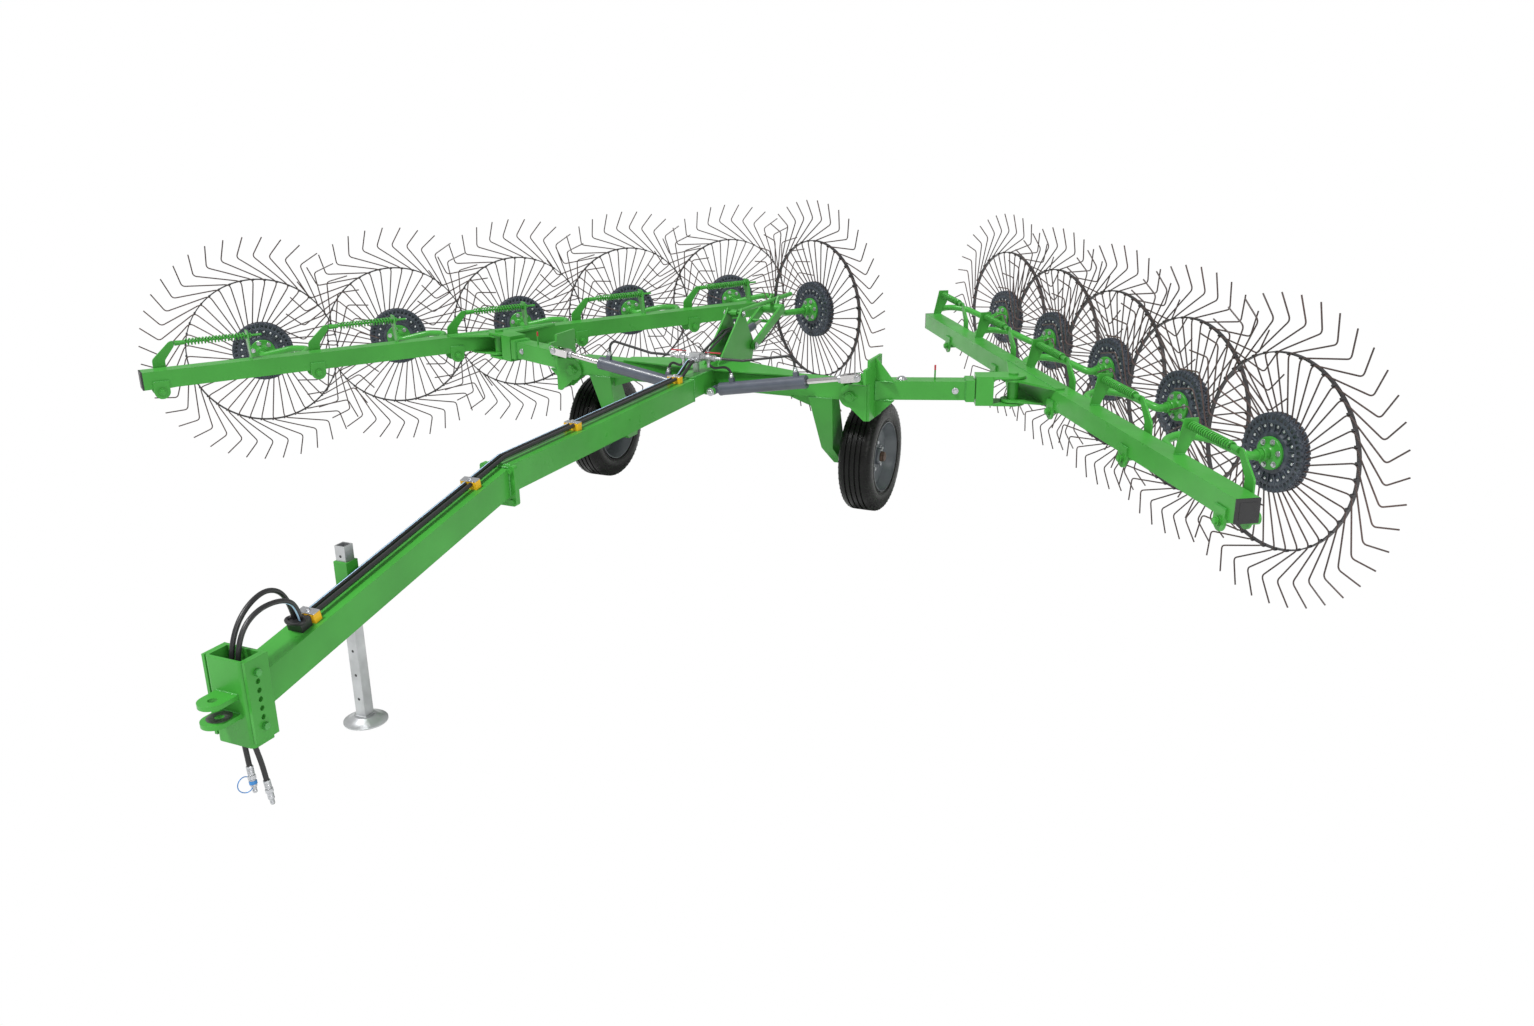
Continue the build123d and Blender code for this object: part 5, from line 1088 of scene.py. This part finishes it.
def bank_details():
    """The welds on each bank's beam and the faces of its end caps."""
    for side, sign in SIDES:
        welds = Shape()
        seams = [(PITCH * index, seam, 0.0034) for index in range(5) for seam in ARM_SEAMS]
        for start, (*ends, z), radius in seams + [(0, seam, 0.0036) for seam in BANK_SEAMS]:
            welds.weld([on_bank(start + along, out, z, sign) for along, out in ends], radius)
        welds.piece(f"bank_welds_{side}", weld_green, f"rake_bank_{side}", "green_paint")
        caps = Shape()
        square = box_outline(-CAP_HALF, CAP_HALF, -CAP_HALF, CAP_HALF, 0.006)
        for along, way in ((-0.096, -1), (3.9462, 1)):
            place = looking(on_bank(along, 0.055, 0.75, sign), bank_way(1, 0, sign) * way)
            caps.plate(square, -0.0002, 0.0012, place, 0.0005)
        caps.piece(f"cap_faces_{side}", cap_black, f"rake_bank_{side}", "cap_plastic")


JACK_X, JACK_Y = -0.09, -3.11
SLEEVE_HALF, SLEEVE_INNER = 0.03, 0.0229
LEG_HOLES = (0.1, 0.2, 0.3, 0.4, 0.68)


def jack_sleeve():
    """The square sleeve as a closed section with chamfered outer edges."""
    low, high, edge = 0.455, 0.66, 0.001
    section = ((SLEEVE_INNER, low), (SLEEVE_HALF - edge, low), (SLEEVE_HALF, low + edge),
               (SLEEVE_HALF, high - edge), (SLEEVE_HALF - edge, high), (SLEEVE_INNER, high))
    sleeve = Shape()
    rows = [[from_axle(JACK_X + x * half, JACK_Y + y * half, z) for x, y in SQUARE]
            for half, z in section]
    sleeve.add(*sleeve.rings(rows, closed=True))
    sleeve.piece("sleeve_green", green, "frame", "green_paint", ["jack_sleeve"])


def jack_details():
    jack_sleeve()
    ends = [from_axle(JACK_X + out, JACK_Y, 0.56) for out in (0.0302, 0.042)]
    Shape().tube(ends, 0.006, 12).piece("jack_pin", bolt_zinc, "frame", "zinc_steel")
    # Black discs at the leg's holes: painted shade for the dark inside of the hollow leg seen through them
    hole_shades = Shape()
    for z in LEG_HOLES:
        place = looking(from_axle(JACK_X, JACK_Y - 0.0225, z), -Y)
        hole_shades.lathe(button(0.0055, 0.0002), place, 14)
    hole_shades.piece("leg_holes", cap_black, "jack", "zinc_steel")
    bead = Shape()
    box_weld(bead, from_axle(JACK_X, JACK_Y, 0.027), X, Y, 0.047, 0.047, 0.0035)
    bead.piece("foot_weld", zinc, "jack", "zinc_steel")


# Studio: a white world, two sun lamps, and a floor that is white to the camera
AMBIENT = 0.5
LAMPS = (("key", (-0.25, -0.45, 1.0), 3.0, 0.2), ("side", (1.0, -0.5, 0.5), 0.9, 0.5))
FLOOR_HALF = 60


def make_world():
    """A white backdrop that lights the machine with less than it shows to the camera."""
    world = bpy.data.worlds.new("studio")
    bpy.context.scene.world = world
    world.use_nodes = True
    tree = world.node_tree
    path = tree.nodes.new("ShaderNodeLightPath").outputs
    shown = math_of(tree, "MAXIMUM", path["Is Camera Ray"], path["Is Transmission Ray"])
    back = tree.nodes["Background"].inputs
    feed(tree, back["Strength"], ranged(tree, shown, AMBIENT, 1.0, 0, 1))
    feed(tree, back["Color"], WHITE)


def make_floor():
    corners = [(x * FLOOR_HALF, y * FLOOR_HALF, 0) for x, y in SQUARE]
    mesh = bpy.data.meshes.new("floor")
    mesh.from_pydata(corners, [], [(0, 1, 2, 3)])
    material = bpy.data.materials.new("floor_white")
    material.use_nodes = True
    tree = material.node_tree
    shader = tree.nodes["Principled BSDF"]
    feed(tree, shader.inputs["Base Color"], (0.8, 0.8, 0.8, 1))
    feed(tree, shader.inputs["Roughness"], 0.9)
    glow = node_of(tree, "ShaderNodeEmission", Color=WHITE)
    path = tree.nodes.new("ShaderNodeLightPath")
    mix = tree.nodes.new("ShaderNodeMixShader")
    for socket, source in zip(mix.inputs, (path.outputs["Is Camera Ray"], shader.outputs[0],
                                           glow.outputs[0])):
        feed(tree, socket, source)
    feed(tree, tree.nodes["Material Output"].inputs["Surface"], mix.outputs[0])
    mesh.materials.append(material)
    return new_object("floor", mesh)


def make_studio():
    bpy.context.scene.view_settings.view_transform = "Standard"
    make_world()
    for name, toward, power, size in LAMPS:
        lamp = bpy.data.lights.new(name, "SUN")
        lamp.energy = power
        lamp.angle = size
        held = new_object(name, lamp)
        held.rotation_mode = "QUATERNION"
        held.rotation_quaternion = Vector(toward).to_track_quat("Z", "Y")
    make_floor()


make_camera()
free_hoses()
dress_cad()
finger_wheels()
road_wheels()
banks()
hose_clamps()
hose_fittings()
valve_fittings()
for side, sign in SIDES:
    arm_fittings(side, sign)
    rod_eye(side, sign)
    ram_rings(side, sign)
frame_details()
bank_details()
jack_details()
make_studio()
